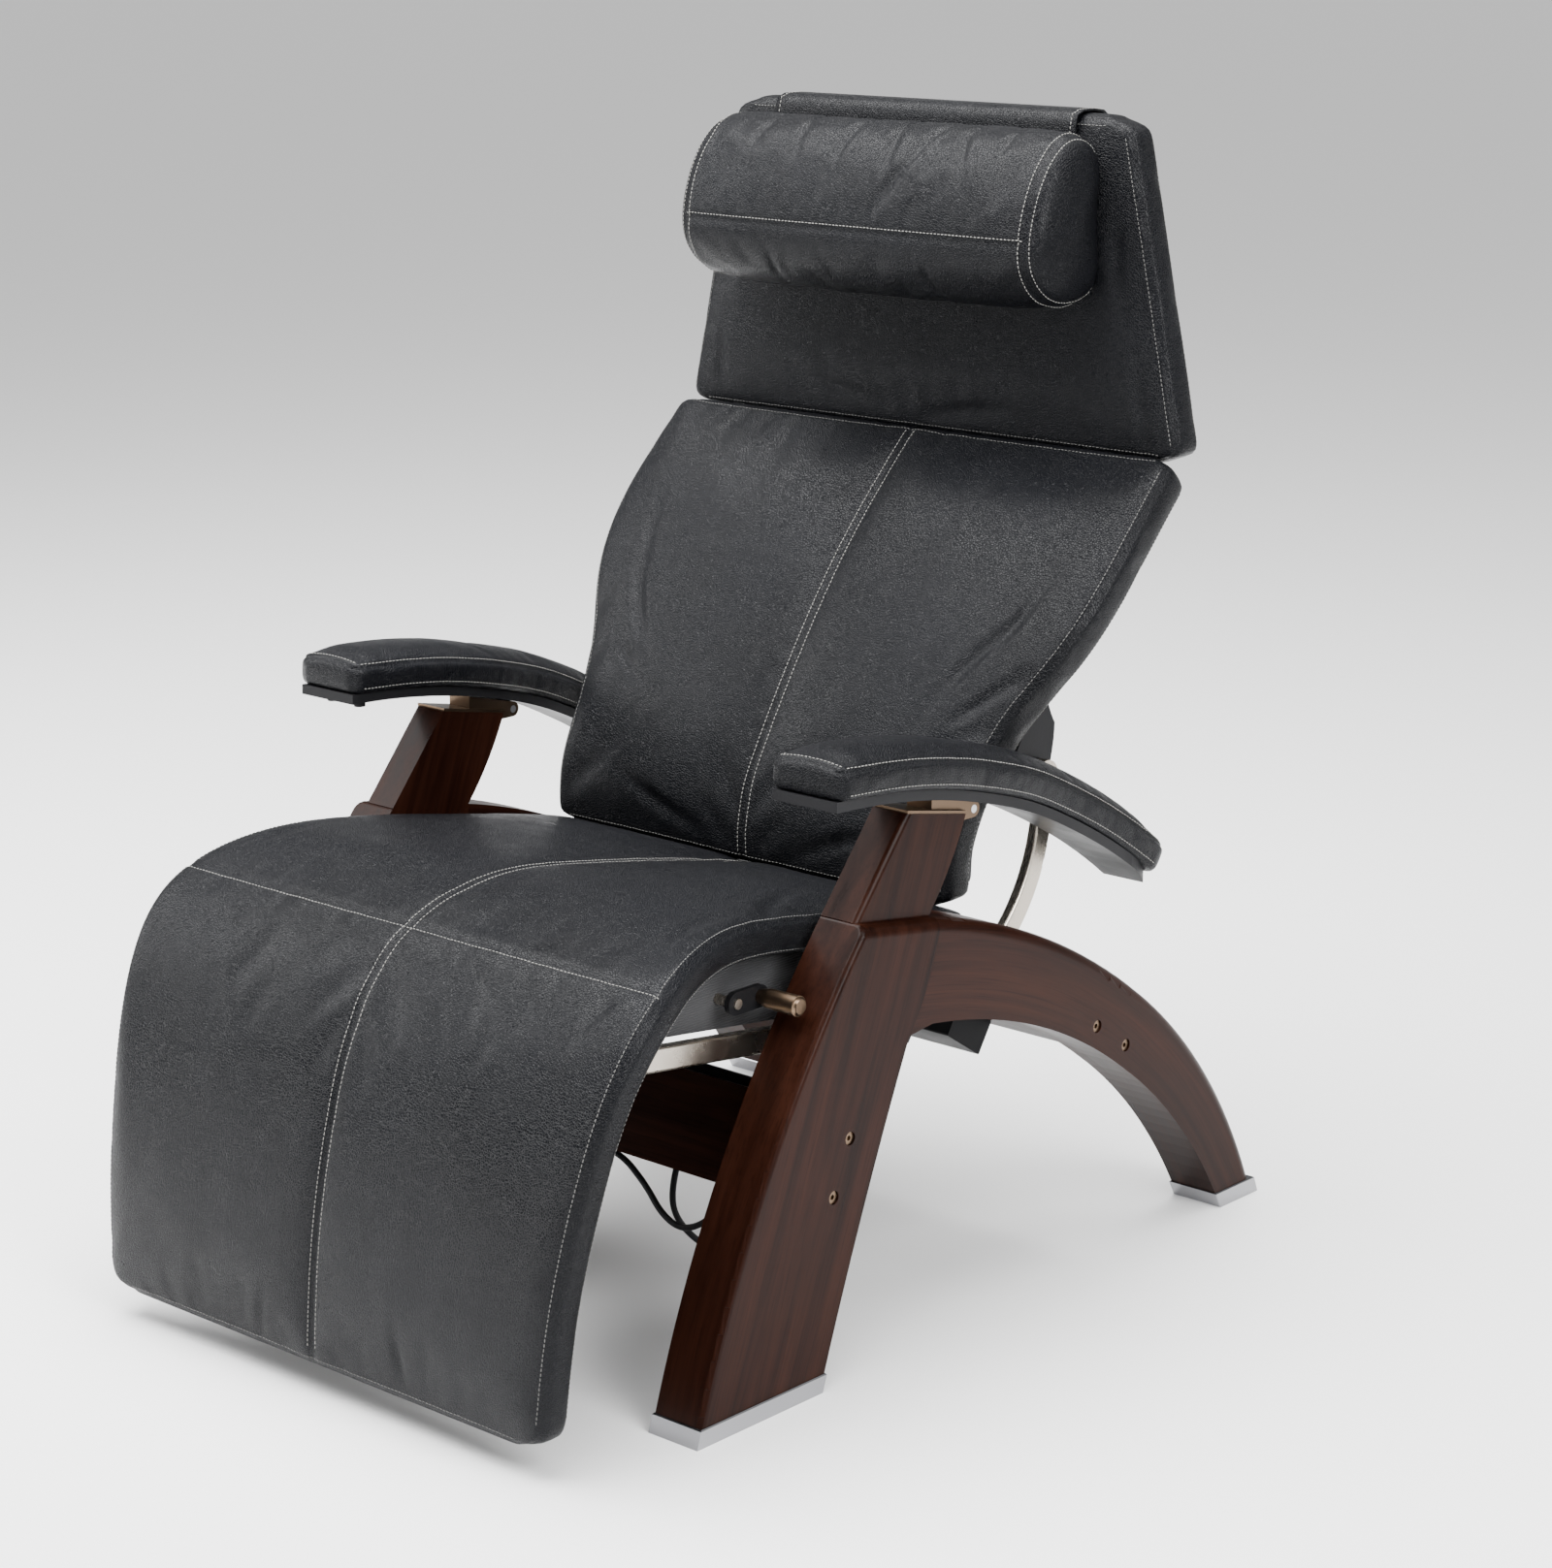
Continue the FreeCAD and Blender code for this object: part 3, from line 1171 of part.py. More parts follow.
def write_parts():
    doc.recompute()
    for piece in doc.Objects:
        if "Invalid" in piece.State or "Error" in piece.State:
            raise RuntimeError("%s failed: %s" % (piece.Label, piece.State))
    os.makedirs("parts", exist_ok=True)
    for label, piece in nodes.items():
        shape = piece.Shape
        if shape.isNull() or not shape.isValid() or not shape.Solids:
            raise RuntimeError(label + ": no valid solid")
        shape.exportStep("parts/%s.step" % label)
    print(len(nodes), "nodes written")


build_base()
build_seat()
build_back()
build_arms()
build_controls()
build_electrics()
write_parts()
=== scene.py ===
"""Looks of a zero gravity recliner: sewn leather pads, stained bentwood, nickel steel and cables."""

import math
from functools import partial

import bmesh
import bpy
import numpy as np
from mathutils import Matrix, Vector
from mathutils.bvhtree import BVHTree


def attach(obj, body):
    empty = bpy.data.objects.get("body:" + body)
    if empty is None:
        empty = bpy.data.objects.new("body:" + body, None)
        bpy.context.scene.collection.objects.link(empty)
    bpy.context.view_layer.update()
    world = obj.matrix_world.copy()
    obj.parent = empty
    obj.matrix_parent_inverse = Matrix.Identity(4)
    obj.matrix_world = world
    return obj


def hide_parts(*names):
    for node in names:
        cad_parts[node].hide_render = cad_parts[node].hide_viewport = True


bl_info = {
    "name": "Zero Gravity Recliner",
    "version": (1, 0, 0),
    "blender": (4, 5, 0),
    "location": "View3D > Sidebar > Recliner",
    "description": "Builds the leather, wood and metal surfaces of a zero gravity recliner",
    "category": "Object",
}

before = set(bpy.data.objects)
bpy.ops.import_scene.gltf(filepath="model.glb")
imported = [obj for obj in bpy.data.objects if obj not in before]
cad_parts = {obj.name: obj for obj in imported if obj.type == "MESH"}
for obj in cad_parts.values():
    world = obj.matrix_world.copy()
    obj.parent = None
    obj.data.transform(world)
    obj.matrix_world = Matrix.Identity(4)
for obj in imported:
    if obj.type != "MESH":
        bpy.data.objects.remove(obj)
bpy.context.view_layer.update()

# side-view lines of the pads' front surfaces, as (y, z) in metres
SEAT_LINE = [(-0.520, 0.028), (-0.512, 0.130), (-0.485, 0.268), (-0.407, 0.415), (-0.300, 0.455),
             (-0.151, 0.445), (-0.012, 0.419), (0.118, 0.388)]
BACK_LINE = [(0.079, 0.391), (0.082, 0.454), (0.105, 0.506), (0.165, 0.603), (0.240, 0.704), (0.3535, 0.8205)]
ARM_LINE = [(-0.188, 0.603), (-0.094, 0.596), (-0.009, 0.581), (0.049, 0.566), (0.110, 0.546), (0.172, 0.518),
            (0.237, 0.483), (0.325, 0.424)]
HEAD_LINE = [(0.361, 0.804), (0.361, 0.980), (0.361, 1.145)]
STRAP_LINE = [(0.3594, 1.000), (0.3594, 1.070), (0.3596, 1.130), (0.3640, 1.1455), (0.3800, 1.1484),
              (0.4000, 1.1480), (0.4140, 1.1430), (0.4172, 1.1250), (0.4174, 1.060), (0.4176, 0.985)]
WEIGHT_LINE = [(0.4429, 1.014), (0.4429, 0.972), (0.4429, 0.931)]

# half widths along each pad, as (share of its length, half width)
SEAT_WIDTH = [(0.0, 0.303), (0.17, 0.315), (0.35, 0.331), (0.44, 0.332), (0.51, 0.318), (0.60, 0.296),
              (0.66, 0.287), (1.0, 0.285)]
BACK_WIDTH = [(0.0, 0.272), (0.16, 0.272), (0.31, 0.279), (0.40, 0.290), (0.54, 0.320), (0.68, 0.336),
              (0.84, 0.338), (1.0, 0.336)]
HEAD_WIDTH = [(0.0, 0.336), (1.0, 0.263)]
ARM_WIDTH = [(0.0, 0.0455), (0.38, 0.0455), (0.50, 0.0390), (1.0, 0.0390)]
STRAP_WIDTH = [(0.0, 0.200), (1.0, 0.200)]
WEIGHT_WIDTH = [(0.0, 0.086), (0.5, 0.090), (1.0, 0.086)]
WEIGHT_SEAM = 0.012  # how far behind the bag's front its seam lies
SHELL_WIDTH = [(0.0, 0.254), (1.0, 0.254)]

# the left armrest: its middle moves outwards where the inner side steps back for the seat, as (share of
# its length, distance from the chair's middle); its ends are rounded, and its top is crowned
ARM_MIDDLE = [(0.0, 0.3238), (0.38, 0.3238), (0.50, 0.3302), (1.0, 0.3302)]
ARM_FRONT_RADIUS, ARM_REAR_RADIUS, ARM_CROWN = 0.008, 0.026, 0.0120

# closed side view of the head pillow, from its lower back corner round the front, and its middle
PILLOW_SECTION = [(0.353, 0.966), (0.318, 0.956), (0.272, 0.966), (0.243, 1.000), (0.244, 1.045),
                  (0.262, 1.090), (0.288, 1.121), (0.322, 1.134), (0.353, 1.122), (0.3570, 1.045)]
PILLOW_HEART = (0.305, 1.045)

# the pillow's half width, where its end gussets start, the sewn line across it as a share of the way round,
# its cell size, and the plane behind which it lies against the head part
PILLOW_HALF, PILLOW_SEAM = 0.249, 0.226
PILLOW_LINE_WAY = 0.315
PILLOW_CELL = 0.0075
PILLOW_REST = 0.350

# routes of the two cables under the seat
SUPPLY_ROUTE = [(0.125, -0.1472, 0.1648), (0.125, -0.1586, 0.1392), (0.122, -0.151, 0.102),
                (0.131, -0.115, 0.062), (0.118, -0.052, 0.038), (0.129, 0.010, 0.033), (0.119, 0.074, 0.042),
                (0.134, 0.125, 0.074), (0.118, 0.165, 0.112), (0.105, 0.1974, 0.1581),
                (0.105, 0.2181, 0.1899)]
HARNESS_ROUTE = [(-0.281, -0.140, 0.205), (-0.250, -0.140, 0.205), (-0.196, -0.146, 0.184),
                 (-0.122, -0.133, 0.164), (-0.042, -0.141, 0.153), (0.030, -0.134, 0.146),
                 (0.082, -0.150, 0.128), (0.122, -0.170, 0.113), (0.155, -0.176, 0.106),
                 (0.184, -0.171, 0.120), (0.195, -0.1569, 0.1429), (0.195, -0.1472, 0.1648)]
CABLE_DIAMETER = 0.0065

# each cable: piece, node that it replaces, route and length
CABLES = [("supply_cable_sheath", "supply_cable", SUPPLY_ROUTE, 0.525),
          ("harness_cable_sheath", "harness_cable", HARNESS_ROUTE, 0.540)]

# sewing: the seam across the seat at the knee, by its length from the foot end, the two rows beside a
# middle seam, the row inside an edge, and how wide the leather dips at a seam
SEAT_KNEE = 0.445
TWIN_ROWS = (-0.0055, 0.0055)
EDGE_ROW = 0.009
SEAM_WIDTH = 0.0042

# short folds in the leather: width place, length place, heading in degrees, length, width, depth
SEAT_FOLDS = [(-0.245, 0.700, 62, 0.090, 0.010, 0.0026), (0.240, 0.690, 118, 0.100, 0.011, 0.0030),
              (0.262, 0.560, 96, 0.080, 0.010, 0.0022), (-0.275, 0.520, 80, 0.070, 0.010, 0.0020),
              (0.270, 0.400, 70, 0.060, 0.009, 0.0020), (-0.070, 0.040, 78, 0.050, 0.008, 0.0014),
              (0.120, 0.045, 100, 0.050, 0.008, 0.0016), (0.060, 0.880, 8, 0.120, 0.012, 0.0028),
              (-0.130, 0.870, 172, 0.130, 0.012, 0.0028)]
BACK_FOLDS = [(0.228, 0.262, 58, 0.120, 0.011, 0.0042), (0.252, 0.215, 48, 0.090, 0.009, 0.0034),
              (0.262, 0.325, 72, 0.100, 0.010, 0.0032), (-0.232, 0.255, 122, 0.110, 0.011, 0.0038),
              (-0.255, 0.320, 108, 0.090, 0.010, 0.0030), (-0.215, 0.190, 140, 0.080, 0.010, 0.0030),
              (0.225, 0.165, 34, 0.080, 0.010, 0.0026), (0.130, 0.045, 20, 0.110, 0.011, 0.0030),
              (-0.120, 0.045, 160, 0.110, 0.011, 0.0030), (0.045, 0.520, 84, 0.060, 0.008, 0.0016),
              (-0.150, 0.560, 96, 0.060, 0.009, 0.0018), (0.190, 0.560, 88, 0.055, 0.009, 0.0018)]
HEAD_FOLDS = [(0.285, 0.060, 98, 0.070, 0.009, 0.0020), (-0.280, 0.060, 82, 0.070, 0.009, 0.0020),
              (0.255, 0.200, 96, 0.080, 0.009, 0.0018), (0.060, 0.030, 10, 0.120, 0.010, 0.0020),
              (-0.120, 0.040, 170, 0.100, 0.010, 0.0018)]
PILLOW_FOLDS = [(-0.150, 0.265, 80, 0.055, 0.0065, 0.0022), (-0.095, 0.272, 96, 0.070, 0.0070, 0.0028),
                (-0.030, 0.268, 84, 0.080, 0.0070, 0.0034), (0.030, 0.262, 98, 0.085, 0.0075, 0.0038),
                (0.075, 0.270, 70, 0.070, 0.0065, 0.0030), (0.120, 0.262, 106, 0.070, 0.0070, 0.0034),
                (0.170, 0.270, 84, 0.055, 0.0060, 0.0024), (0.050, 0.215, 60, 0.070, 0.0080, 0.0026),
                (-0.110, 0.110, 88, 0.045, 0.0070, 0.0018), (0.100, 0.105, 96, 0.045, 0.0070, 0.0018)]

# grain of the wood: how far the legs lean, in degrees, three side-view points on the arches' middle line,
# and the radius that turns an angle round the arch into a length
LEG_LEAN = 21
ARCH_MIDDLE, ARCH_RADIUS = ((-0.029, 0.375), (0.290, 0.237), (0.484, 0.010)), 0.45

# filling of the pads: the cloth's settings, the frames that it runs for, how much larger the loose panels
# are cut, and the shrinking of the others
CLOTH = {"quality": 7, "mass": 0.35, "tension_stiffness": 22, "compression_stiffness": 22,
         "shear_stiffness": 8, "bending_stiffness": 1.6, "tension_damping": 12, "compression_damping": 12,
         "use_pressure": True}
CLOTH_FRAMES = 16
PANEL_SPARE = 0.05
STAY_SHRINK = -0.004

# the stage: where the camera looks from, its lens and its aim
CAMERA_YAW, CAMERA_PITCH, CAMERA_DISTANCE = 41.695, 14.371, 3.70
CAMERA_AIM, CAMERA_SHIFT_RIGHT, CAMERA_SHIFT_DOWN = (0, 0.069, 0.55), 0.044, 0.069
CAMERA_SENSOR, CAMERA_LENS, CAMERA_REACH = 36.0, 83.78, 200.0
FLOOR_REACH = 70.0

# brightness of the studio wall by the height of the direction, from 0 at the horizon to 1 overhead
STUDIO_WALL = [(0.0, 0.66), (0.04, 0.66), (0.12, 0.14), (0.55, 0.20), (0.85, 0.9)]
STUDIO_STRENGTH = 1.6

# large soft lights: name, place, aim, width and height, power in watts
STUDIO_LIGHTS = [("top_softbox", (-0.5, -0.4, 3.4), (0, 0, 0.4), (3.4, 3.4), 520),
                 ("side_softbox", (-3.2, -1.6, 2.0), (0, 0, 0.6), (1.8, 2.4), 130),
                 ("near_softbox", (3.0, -0.6, 2.3), (0, 0, 0.6), (1.8, 2.2), 190)]


# ---------------------------------------------------------------- settings

class ReclinerColours(bpy.types.PropertyGroup):
    """Colours of the finishes."""

    leather: bpy.props.FloatVectorProperty(
        name="Leather", description="Colour of the upholstery leather", subtype="COLOR", size=3, min=0, max=1,
        default=(0.0021, 0.0023, 0.0033))
    thread: bpy.props.FloatVectorProperty(
        name="Thread", description="Colour of the contrast stitching", subtype="COLOR", size=3, min=0, max=1,
        default=(0.19, 0.185, 0.17))
    wood_dark: bpy.props.FloatVectorProperty(
        name="Wood, dark grain", description="Colour of the stain in the grain", subtype="COLOR", size=3,
        min=0, max=1, default=(0.0066, 0.0020, 0.0012))
    wood_light: bpy.props.FloatVectorProperty(
        name="Wood, light grain", description="Colour of the stain between the grain", subtype="COLOR",
        size=3, min=0, max=1, default=(0.0240, 0.0075, 0.0040))
    nickel: bpy.props.FloatVectorProperty(
        name="Nickel", description="Colour of the plated seat rails", subtype="COLOR", size=3, min=0, max=1,
        default=(0.46, 0.415, 0.355))


class ReclinerSewing(bpy.types.PropertyGroup):
    """Sizes of the leather work."""

    pebble: bpy.props.FloatProperty(
        name="Pebble size", description="Width of one pebble of the leather's grain", unit="LENGTH",
        min=0.0005, max=0.01, default=0.0024)
    stitch_pitch: bpy.props.FloatProperty(
        name="Stitch pitch", description="Distance from one stitch to the next", unit="LENGTH",
        min=0.002, max=0.02, default=0.0046)
    stitch_length: bpy.props.FloatProperty(
        name="Stitch length", description="Visible length of one stitch", unit="LENGTH",
        min=0.001, max=0.02, default=0.0033)
    thread_radius: bpy.props.FloatProperty(
        name="Thread radius", description="Radius of the sewing thread", unit="LENGTH",
        min=0.0002, max=0.002, default=0.00046)
    seam_depth: bpy.props.FloatProperty(
        name="Seam depth", description="How far a seam sinks into the pad", unit="LENGTH",
        min=0, max=0.01, default=0.0016)
    pressure: bpy.props.FloatProperty(
        name="Filling pressure", description="Pressure of the foam on the leather in the simulation",
        min=0, max=20, default=3.0)


def sewing():
    """The sewing sizes that are set on the scene."""
    return bpy.context.scene.recliner_sewing


def colours():
    """The colours that are set on the scene."""
    return bpy.context.scene.recliner_colours


# ---------------------------------------------------------------- curves

def natural_spline(points, count):
    """Natural cubic spline through the points: each coordinate is a cubic in the chord length whose second
    derivatives come from one tridiagonal solve. Gives count points, evenly spaced in that length."""
    p = np.array(points, float)
    h = np.linalg.norm(np.diff(p, axis=0), axis=1)
    t = np.concatenate([[0], np.cumsum(h)])
    n = len(p)
    a, rhs = np.eye(n), np.zeros_like(p)
    for k in range(1, n - 1):
        a[k, k - 1:k + 2] = h[k - 1], 2 * (h[k - 1] + h[k]), h[k]
        rhs[k] = 6 * ((p[k + 1] - p[k]) / h[k] - (p[k] - p[k - 1]) / h[k - 1])
    m = np.linalg.solve(a, rhs)
    u = np.linspace(0, t[-1], count)
    k = np.clip(np.searchsorted(t, u, side="right") - 1, 0, n - 2)
    l, r = (t[k + 1] - u)[:, None], (u - t[k])[:, None]
    g = h[k][:, None]
    bends = (m[k] * l ** 3 + m[k + 1] * r ** 3) / (6 * g)
    return bends + (p[k] / g - m[k] * g / 6) * l + (p[k + 1] / g - m[k + 1] * g / 6) * r


def lengths_along(points):
    """Length of a line from its start to each of its points."""
    return np.concatenate([[0], np.cumsum(np.linalg.norm(np.diff(points, axis=0), axis=1))])


class SideLine:
    """A curve in the side view, by its length: where it is and which way it runs."""

    def __init__(self, points):
        self.points = natural_spline(points, 600)
        self.lengths = lengths_along(self.points)
        self.length = self.lengths[-1]
        run = np.gradient(self.points, self.lengths, axis=0)
        self.runs = run / np.linalg.norm(run, axis=1)[:, None]

    def place(self, x, s, depth):
        """Point at width x, length s along the line, and depth to the right of its travel."""
        y, z, ty, tz = (np.interp(s, self.lengths, c) for c in (*self.points.T, *self.runs.T))
        return np.stack([x, y + depth * tz, z - depth * ty], axis=-1)


def taper(table, length):
    """Smooth half width along a pad, from (share, half width) pairs."""
    dense = natural_spline(table, 400)
    order = np.argsort(dense[:, 0])
    shares, widths = dense[order, 0], dense[order, 1]
    return lambda s: np.interp(np.clip(s / length, 0, 1), shares, widths)


def corner_cut(distance, radius):
    """How much a rounded corner takes off the half width at a distance from the end: the radius minus the
    height of its quarter circle."""
    inside = np.clip(distance, 0, radius)
    return radius - np.sqrt(np.maximum(radius ** 2 - (radius - inside) ** 2, 0))


# ---------------------------------------------------------------- meshes

def put_in_scene(name, data):
    """New object of that name in the scene."""
    thing = bpy.data.objects.new(name, data)
    bpy.context.scene.collection.objects.link(thing)
    return thing


def new_piece(name, points, faces, body, material):
    """Smooth mesh piece that rides on a body."""
    mesh = bpy.data.meshes.new(name)
    mesh.from_pydata(points.tolist(), [], faces)
    mesh.materials.append(material)
    mesh.polygons.foreach_set("use_smooth", np.ones(len(mesh.polygons), bool))
    piece = put_in_scene(name, mesh)
    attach(piece, body)
    return piece


def face_outwards(piece):
    """Turns every face of a closed piece outwards."""
    work = bmesh.new()
    work.from_mesh(piece.data)
    bmesh.ops.recalc_face_normals(work, faces=work.faces)
    work.to_mesh(piece.data)
    work.free()


def box_lattice(cells):
    """Surface points of a box of cells, as shares of its three sides, and its quads. Neighbouring sides share
    the points of their edge."""
    nx, ns, nd = cells
    keys, quads = [], []
    for axis, (u, v) in enumerate(((1, 2), (2, 0), (0, 1))):
        for end in (0, cells[axis]):
            grid = np.zeros((cells[u] + 1, cells[v] + 1, 3), int)
            grid[..., u], grid[..., v] = np.meshgrid(range(cells[u] + 1), range(cells[v] + 1), indexing="ij")
            grid[..., axis] = end
            key = (grid[..., 0] * (ns + 1) + grid[..., 1]) * (nd + 1) + grid[..., 2]
            ring = [key[:-1, :-1], key[1:, :-1], key[1:, 1:], key[:-1, 1:]]
            quads.append(np.stack(ring if end else ring[::-1], axis=-1).reshape(-1, 4))
            keys.append(key.ravel())
    unique = np.unique(np.concatenate(keys))
    quads = np.searchsorted(unique, np.concatenate(quads)).tolist()
    i, rest = np.divmod(unique, (ns + 1) * (nd + 1))
    j, k = np.divmod(rest, nd + 1)
    return np.stack([i / nx, j / ns, k / nd], axis=-1), quads


def soft_edges(across, along, deep, radius):
    """Rounds the edges of a box given by three (value, low, high) sides: each point moves to the distance
    radius from its nearest point of the box that is smaller by radius all round."""
    inner, away = [], []
    for value, low, high in (across, along, deep):
        nearest = np.clip(value, low + radius, high - radius)
        inner.append(nearest)
        away.append(value - nearest)
    length = np.maximum(np.sqrt(sum(a ** 2 for a in away)), 1e-9)
    return [i + a * radius / length for i, a in zip(inner, away)]


def rows_of(data, key):
    """Values of a key with three numbers for each item, as one array."""
    values = np.zeros(len(data) * 3)
    data.foreach_get(key, values)
    return values.reshape(-1, 3)


def coordinates(mesh):
    """Places of the mesh's points."""
    return rows_of(mesh.vertices, "co")


def move_points(mesh, points):
    """Puts the mesh's points at new places."""
    mesh.vertices.foreach_set("co", points.ravel())
    mesh.update()


def push(piece, amount):
    """Moves every point of a piece outwards by its amount."""
    normals = rows_of(piece.data.vertex_normals, "vector")
    move_points(piece.data, coordinates(piece.data) + normals * amount[:, None])


def set_panel(piece, *values):
    """Stores every point's place on the flat pattern in the panel attribute."""
    panel = piece.data.attributes.new("panel", "FLOAT_VECTOR", "POINT")
    panel.data.foreach_set("vector", np.stack(values, axis=-1).ravel())


def panel_of(piece):
    """The three panel values of every point, as they are now."""
    return rows_of(piece.data.attributes["panel"].data, "vector").T


def subdivide(piece):
    """One applied step of subdivision, which also carries the panel attribute to the new points."""
    step = piece.modifiers.new("soften", "SUBSURF")
    step.levels = step.render_levels = 1
    finer = bpy.data.meshes.new_from_object(piece.evaluated_get(bpy.context.evaluated_depsgraph_get()))
    piece.modifiers.remove(step)
    old = piece.data
    piece.data = finer
    bpy.data.meshes.remove(old)
    finer.name = piece.name


# ---------------------------------------------------------------- pads

class Pad:
    """A sewn pad: a box lattice bent along a side line. Its panel attribute holds every point's place on the
    flat pattern: x from the middle, s along the line, and depth behind the front panel."""

    def __init__(self, name, body, node, line, widths, thick, corner, edge, cell, inset):
        self.name, self.body, self.node = name, body, node
        self.thick, self.corner, self.edge, self.cell, self.inset = thick, corner, edge, cell, inset
        self.line = SideLine(line)
        self.width = taper(widths, self.line.length)

    def half(self, s):
        """Half width of the front at length s, with its corners rounded."""
        return self.width(s) - corner_cut(np.minimum(s, self.line.length - s), self.corner)

    def end_gap(self, x, s):
        """Distance on the pattern from the nearest side or end."""
        return np.minimum(self.half(s) - np.abs(x), np.minimum(s, self.line.length - s))

    def rim(self, x, s, depth):
        """Distance on the pattern from the seam between the front panel and the side panels."""
        return np.hypot(depth - self.inset, self.end_gap(x, s))

    def shape(self, x, s, depth):
        """Soft-edged pad: the flat box with rounded edges, carried along the side line."""
        x, s, depth = soft_edges((x, -self.half(s), self.half(s)), (s, 0, self.line.length),
                                 (depth, self.inset, self.thick), self.edge)
        return self.line.place(x, s, depth)

    def build(self, material, slot):
        """The pad's closed surface, before it is filled."""
        wide = float(self.width(np.linspace(0, self.line.length, 50)).max()) * 2
        nx = 2 * round(wide / self.cell / 2)
        cells = (nx, round(self.line.length / self.cell), max(3, round(self.thick / self.cell)))
        share, quads = box_lattice(cells)
        s = share[:, 1] * self.line.length
        x = (2 * share[:, 0] - 1) * self.half(s)
        depth = self.inset + share[:, 2] * (self.thick - self.inset)
        piece = new_piece(self.name, self.shape(x, s, depth), quads, self.body, material)
        set_panel(piece, x, s, depth)
        face_outwards(piece)
        return piece


def weights(piece, name, values):
    """Vertex group with the values rounded to tenths; gives its name."""
    group = piece.vertex_groups.new(name=name)
    levels = np.round(np.clip(values, 0, 1), 1)
    for level in np.unique(levels):
        if level > 0:
            group.add(np.nonzero(levels == level)[0].tolist(), float(level), "REPLACE")
    return name


def inflate(piece, held, loose, pressure, spare, cap):
    """Cloth simulation: the held points stay, pressure fills the rest, and loose panels are cut larger by
    spare, so that they fold. No point moves further than cap."""
    start = coordinates(piece.data)
    cloth = piece.modifiers.new("filling", "CLOTH")
    rules = cloth.settings
    for key, value in CLOTH.items():
        setattr(rules, key, value)
    rules.uniform_pressure_force = pressure
    rules.vertex_group_mass = weights(piece, "held", held)
    rules.vertex_group_shrink = weights(piece, "loose", loose)
    rules.shrink_min, rules.shrink_max = STAY_SHRINK, -spare
    rules.effector_weights.gravity = 0
    cloth.collision_settings.use_collision = False
    cloth.point_cache.frame_start, cloth.point_cache.frame_end = 1, CLOTH_FRAMES
    scene = bpy.context.scene
    for step in range(1, CLOTH_FRAMES + 1):
        scene.frame_set(step)
    settled = piece.evaluated_get(bpy.context.evaluated_depsgraph_get())
    moved = coordinates(settled.data) - start
    scene.frame_set(1)
    piece.modifiers.remove(cloth)
    piece.vertex_groups.clear()
    far = np.maximum(np.linalg.norm(moved, axis=1), 1e-9)
    move_points(piece.data, start + moved * np.minimum(1, cap / far)[:, None])


def near(distance, width):
    """Bell curve: 1 on the line, falling away over the width."""
    return np.exp(-(distance / width) ** 2)


def creases(x, s, folds):
    """Sum of short folds: each is a narrow dip with a soft ridge on both sides, fading towards its ends.
    A fold is (x, s, heading in degrees, length, width, depth)."""
    total = np.zeros_like(x)
    for fx, fs, heading, long, wide, deep in folds:
        c, n = math.cos(math.radians(heading)), math.sin(math.radians(heading))
        along, across = (x - fx) * c + (s - fs) * n, (s - fs) * c - (x - fx) * n
        across = across + 0.12 * along ** 2 / long
        r = (across / wide) ** 2
        total += -deep * (1 - 0.9 * r) * np.exp(-r) * near(along, long / 2)
    return total


# ---------------------------------------------------------------- stitching

def spindles(centres, runs, ups, length, radius):
    """Short threads, one at each centre: a closed spindle along the run, with three rings of six points and
    a point at each end, all worked out in one set of arrays. Gives the points and the faces."""
    turn = np.linspace(0, 2 * np.pi, 6, endpoint=False)
    sides = np.cross(runs, ups)
    ring = sides[:, None, :] * np.cos(turn)[None, :, None] + ups[:, None, :] * np.sin(turn)[None, :, None]
    ends = np.array([-0.36, 0.0, 0.36]) * length
    girth = np.array([0.85, 1.0, 0.85]) * radius
    body = (centres[:, None, None, :] + runs[:, None, None, :] * ends[None, :, None, None]
            + ring[:, None, :, :] * girth[None, :, None, None]).reshape(len(centres), 18, 3)
    tips = centres[:, None, :] + runs[:, None, :] * np.array([-0.5, 0.5])[None, :, None] * length
    points = np.concatenate([body, tips], axis=1)
    around = np.arange(6)
    after = (around + 1) % 6
    first, last = np.full(6, 18), np.full(6, 19)
    bands = [np.stack([k + around, k + after, k + 6 + after, k + 6 + around], axis=-1) for k in (0, 6)]
    caps = [np.stack([after, around, first], axis=-1), np.stack([12 + around, 12 + after, last], axis=-1)]
    base = (np.arange(len(centres)) * 20)[:, None, None]
    quads = (np.concatenate(bands)[None] + base).reshape(-1, 4)
    corners = (np.concatenate(caps)[None] + base).reshape(-1, 3)
    return points.reshape(-1, 3), quads.tolist() + corners.tolist()


def stitch(name, piece, rows, body, material):
    """Sews rows of stitches on a finished piece: each row of rough points is laid on its surface."""
    cfg = sewing()
    tree = BVHTree.FromObject(piece, bpy.context.evaluated_depsgraph_get())
    centres, runs, ups = [], [], []
    for row in rows:
        steps = lengths_along(row)
        places = np.arange(cfg.stitch_pitch / 2, steps[-1], cfg.stitch_pitch)
        rough = np.stack([np.interp(places, steps, c) for c in np.asarray(row).T], axis=-1)
        hits = [tree.find_nearest(Vector(p)) for p in rough]
        on = np.array([h[0] for h in hits])
        up = np.array([h[1] for h in hits])
        run = np.gradient(on, axis=0)
        run -= up * np.sum(run * up, axis=1)[:, None]
        run /= np.maximum(np.linalg.norm(run, axis=1), 1e-9)[:, None]
        centres.append(on + up * cfg.thread_radius * 0.35)
        runs.append(run)
        ups.append(up)
    points, faces = spindles(np.concatenate(centres), np.concatenate(runs), np.concatenate(ups),
                             cfg.stitch_length, cfg.thread_radius)
    return new_piece(name, points, faces, body, material)


# ---------------------------------------------------------------- materials

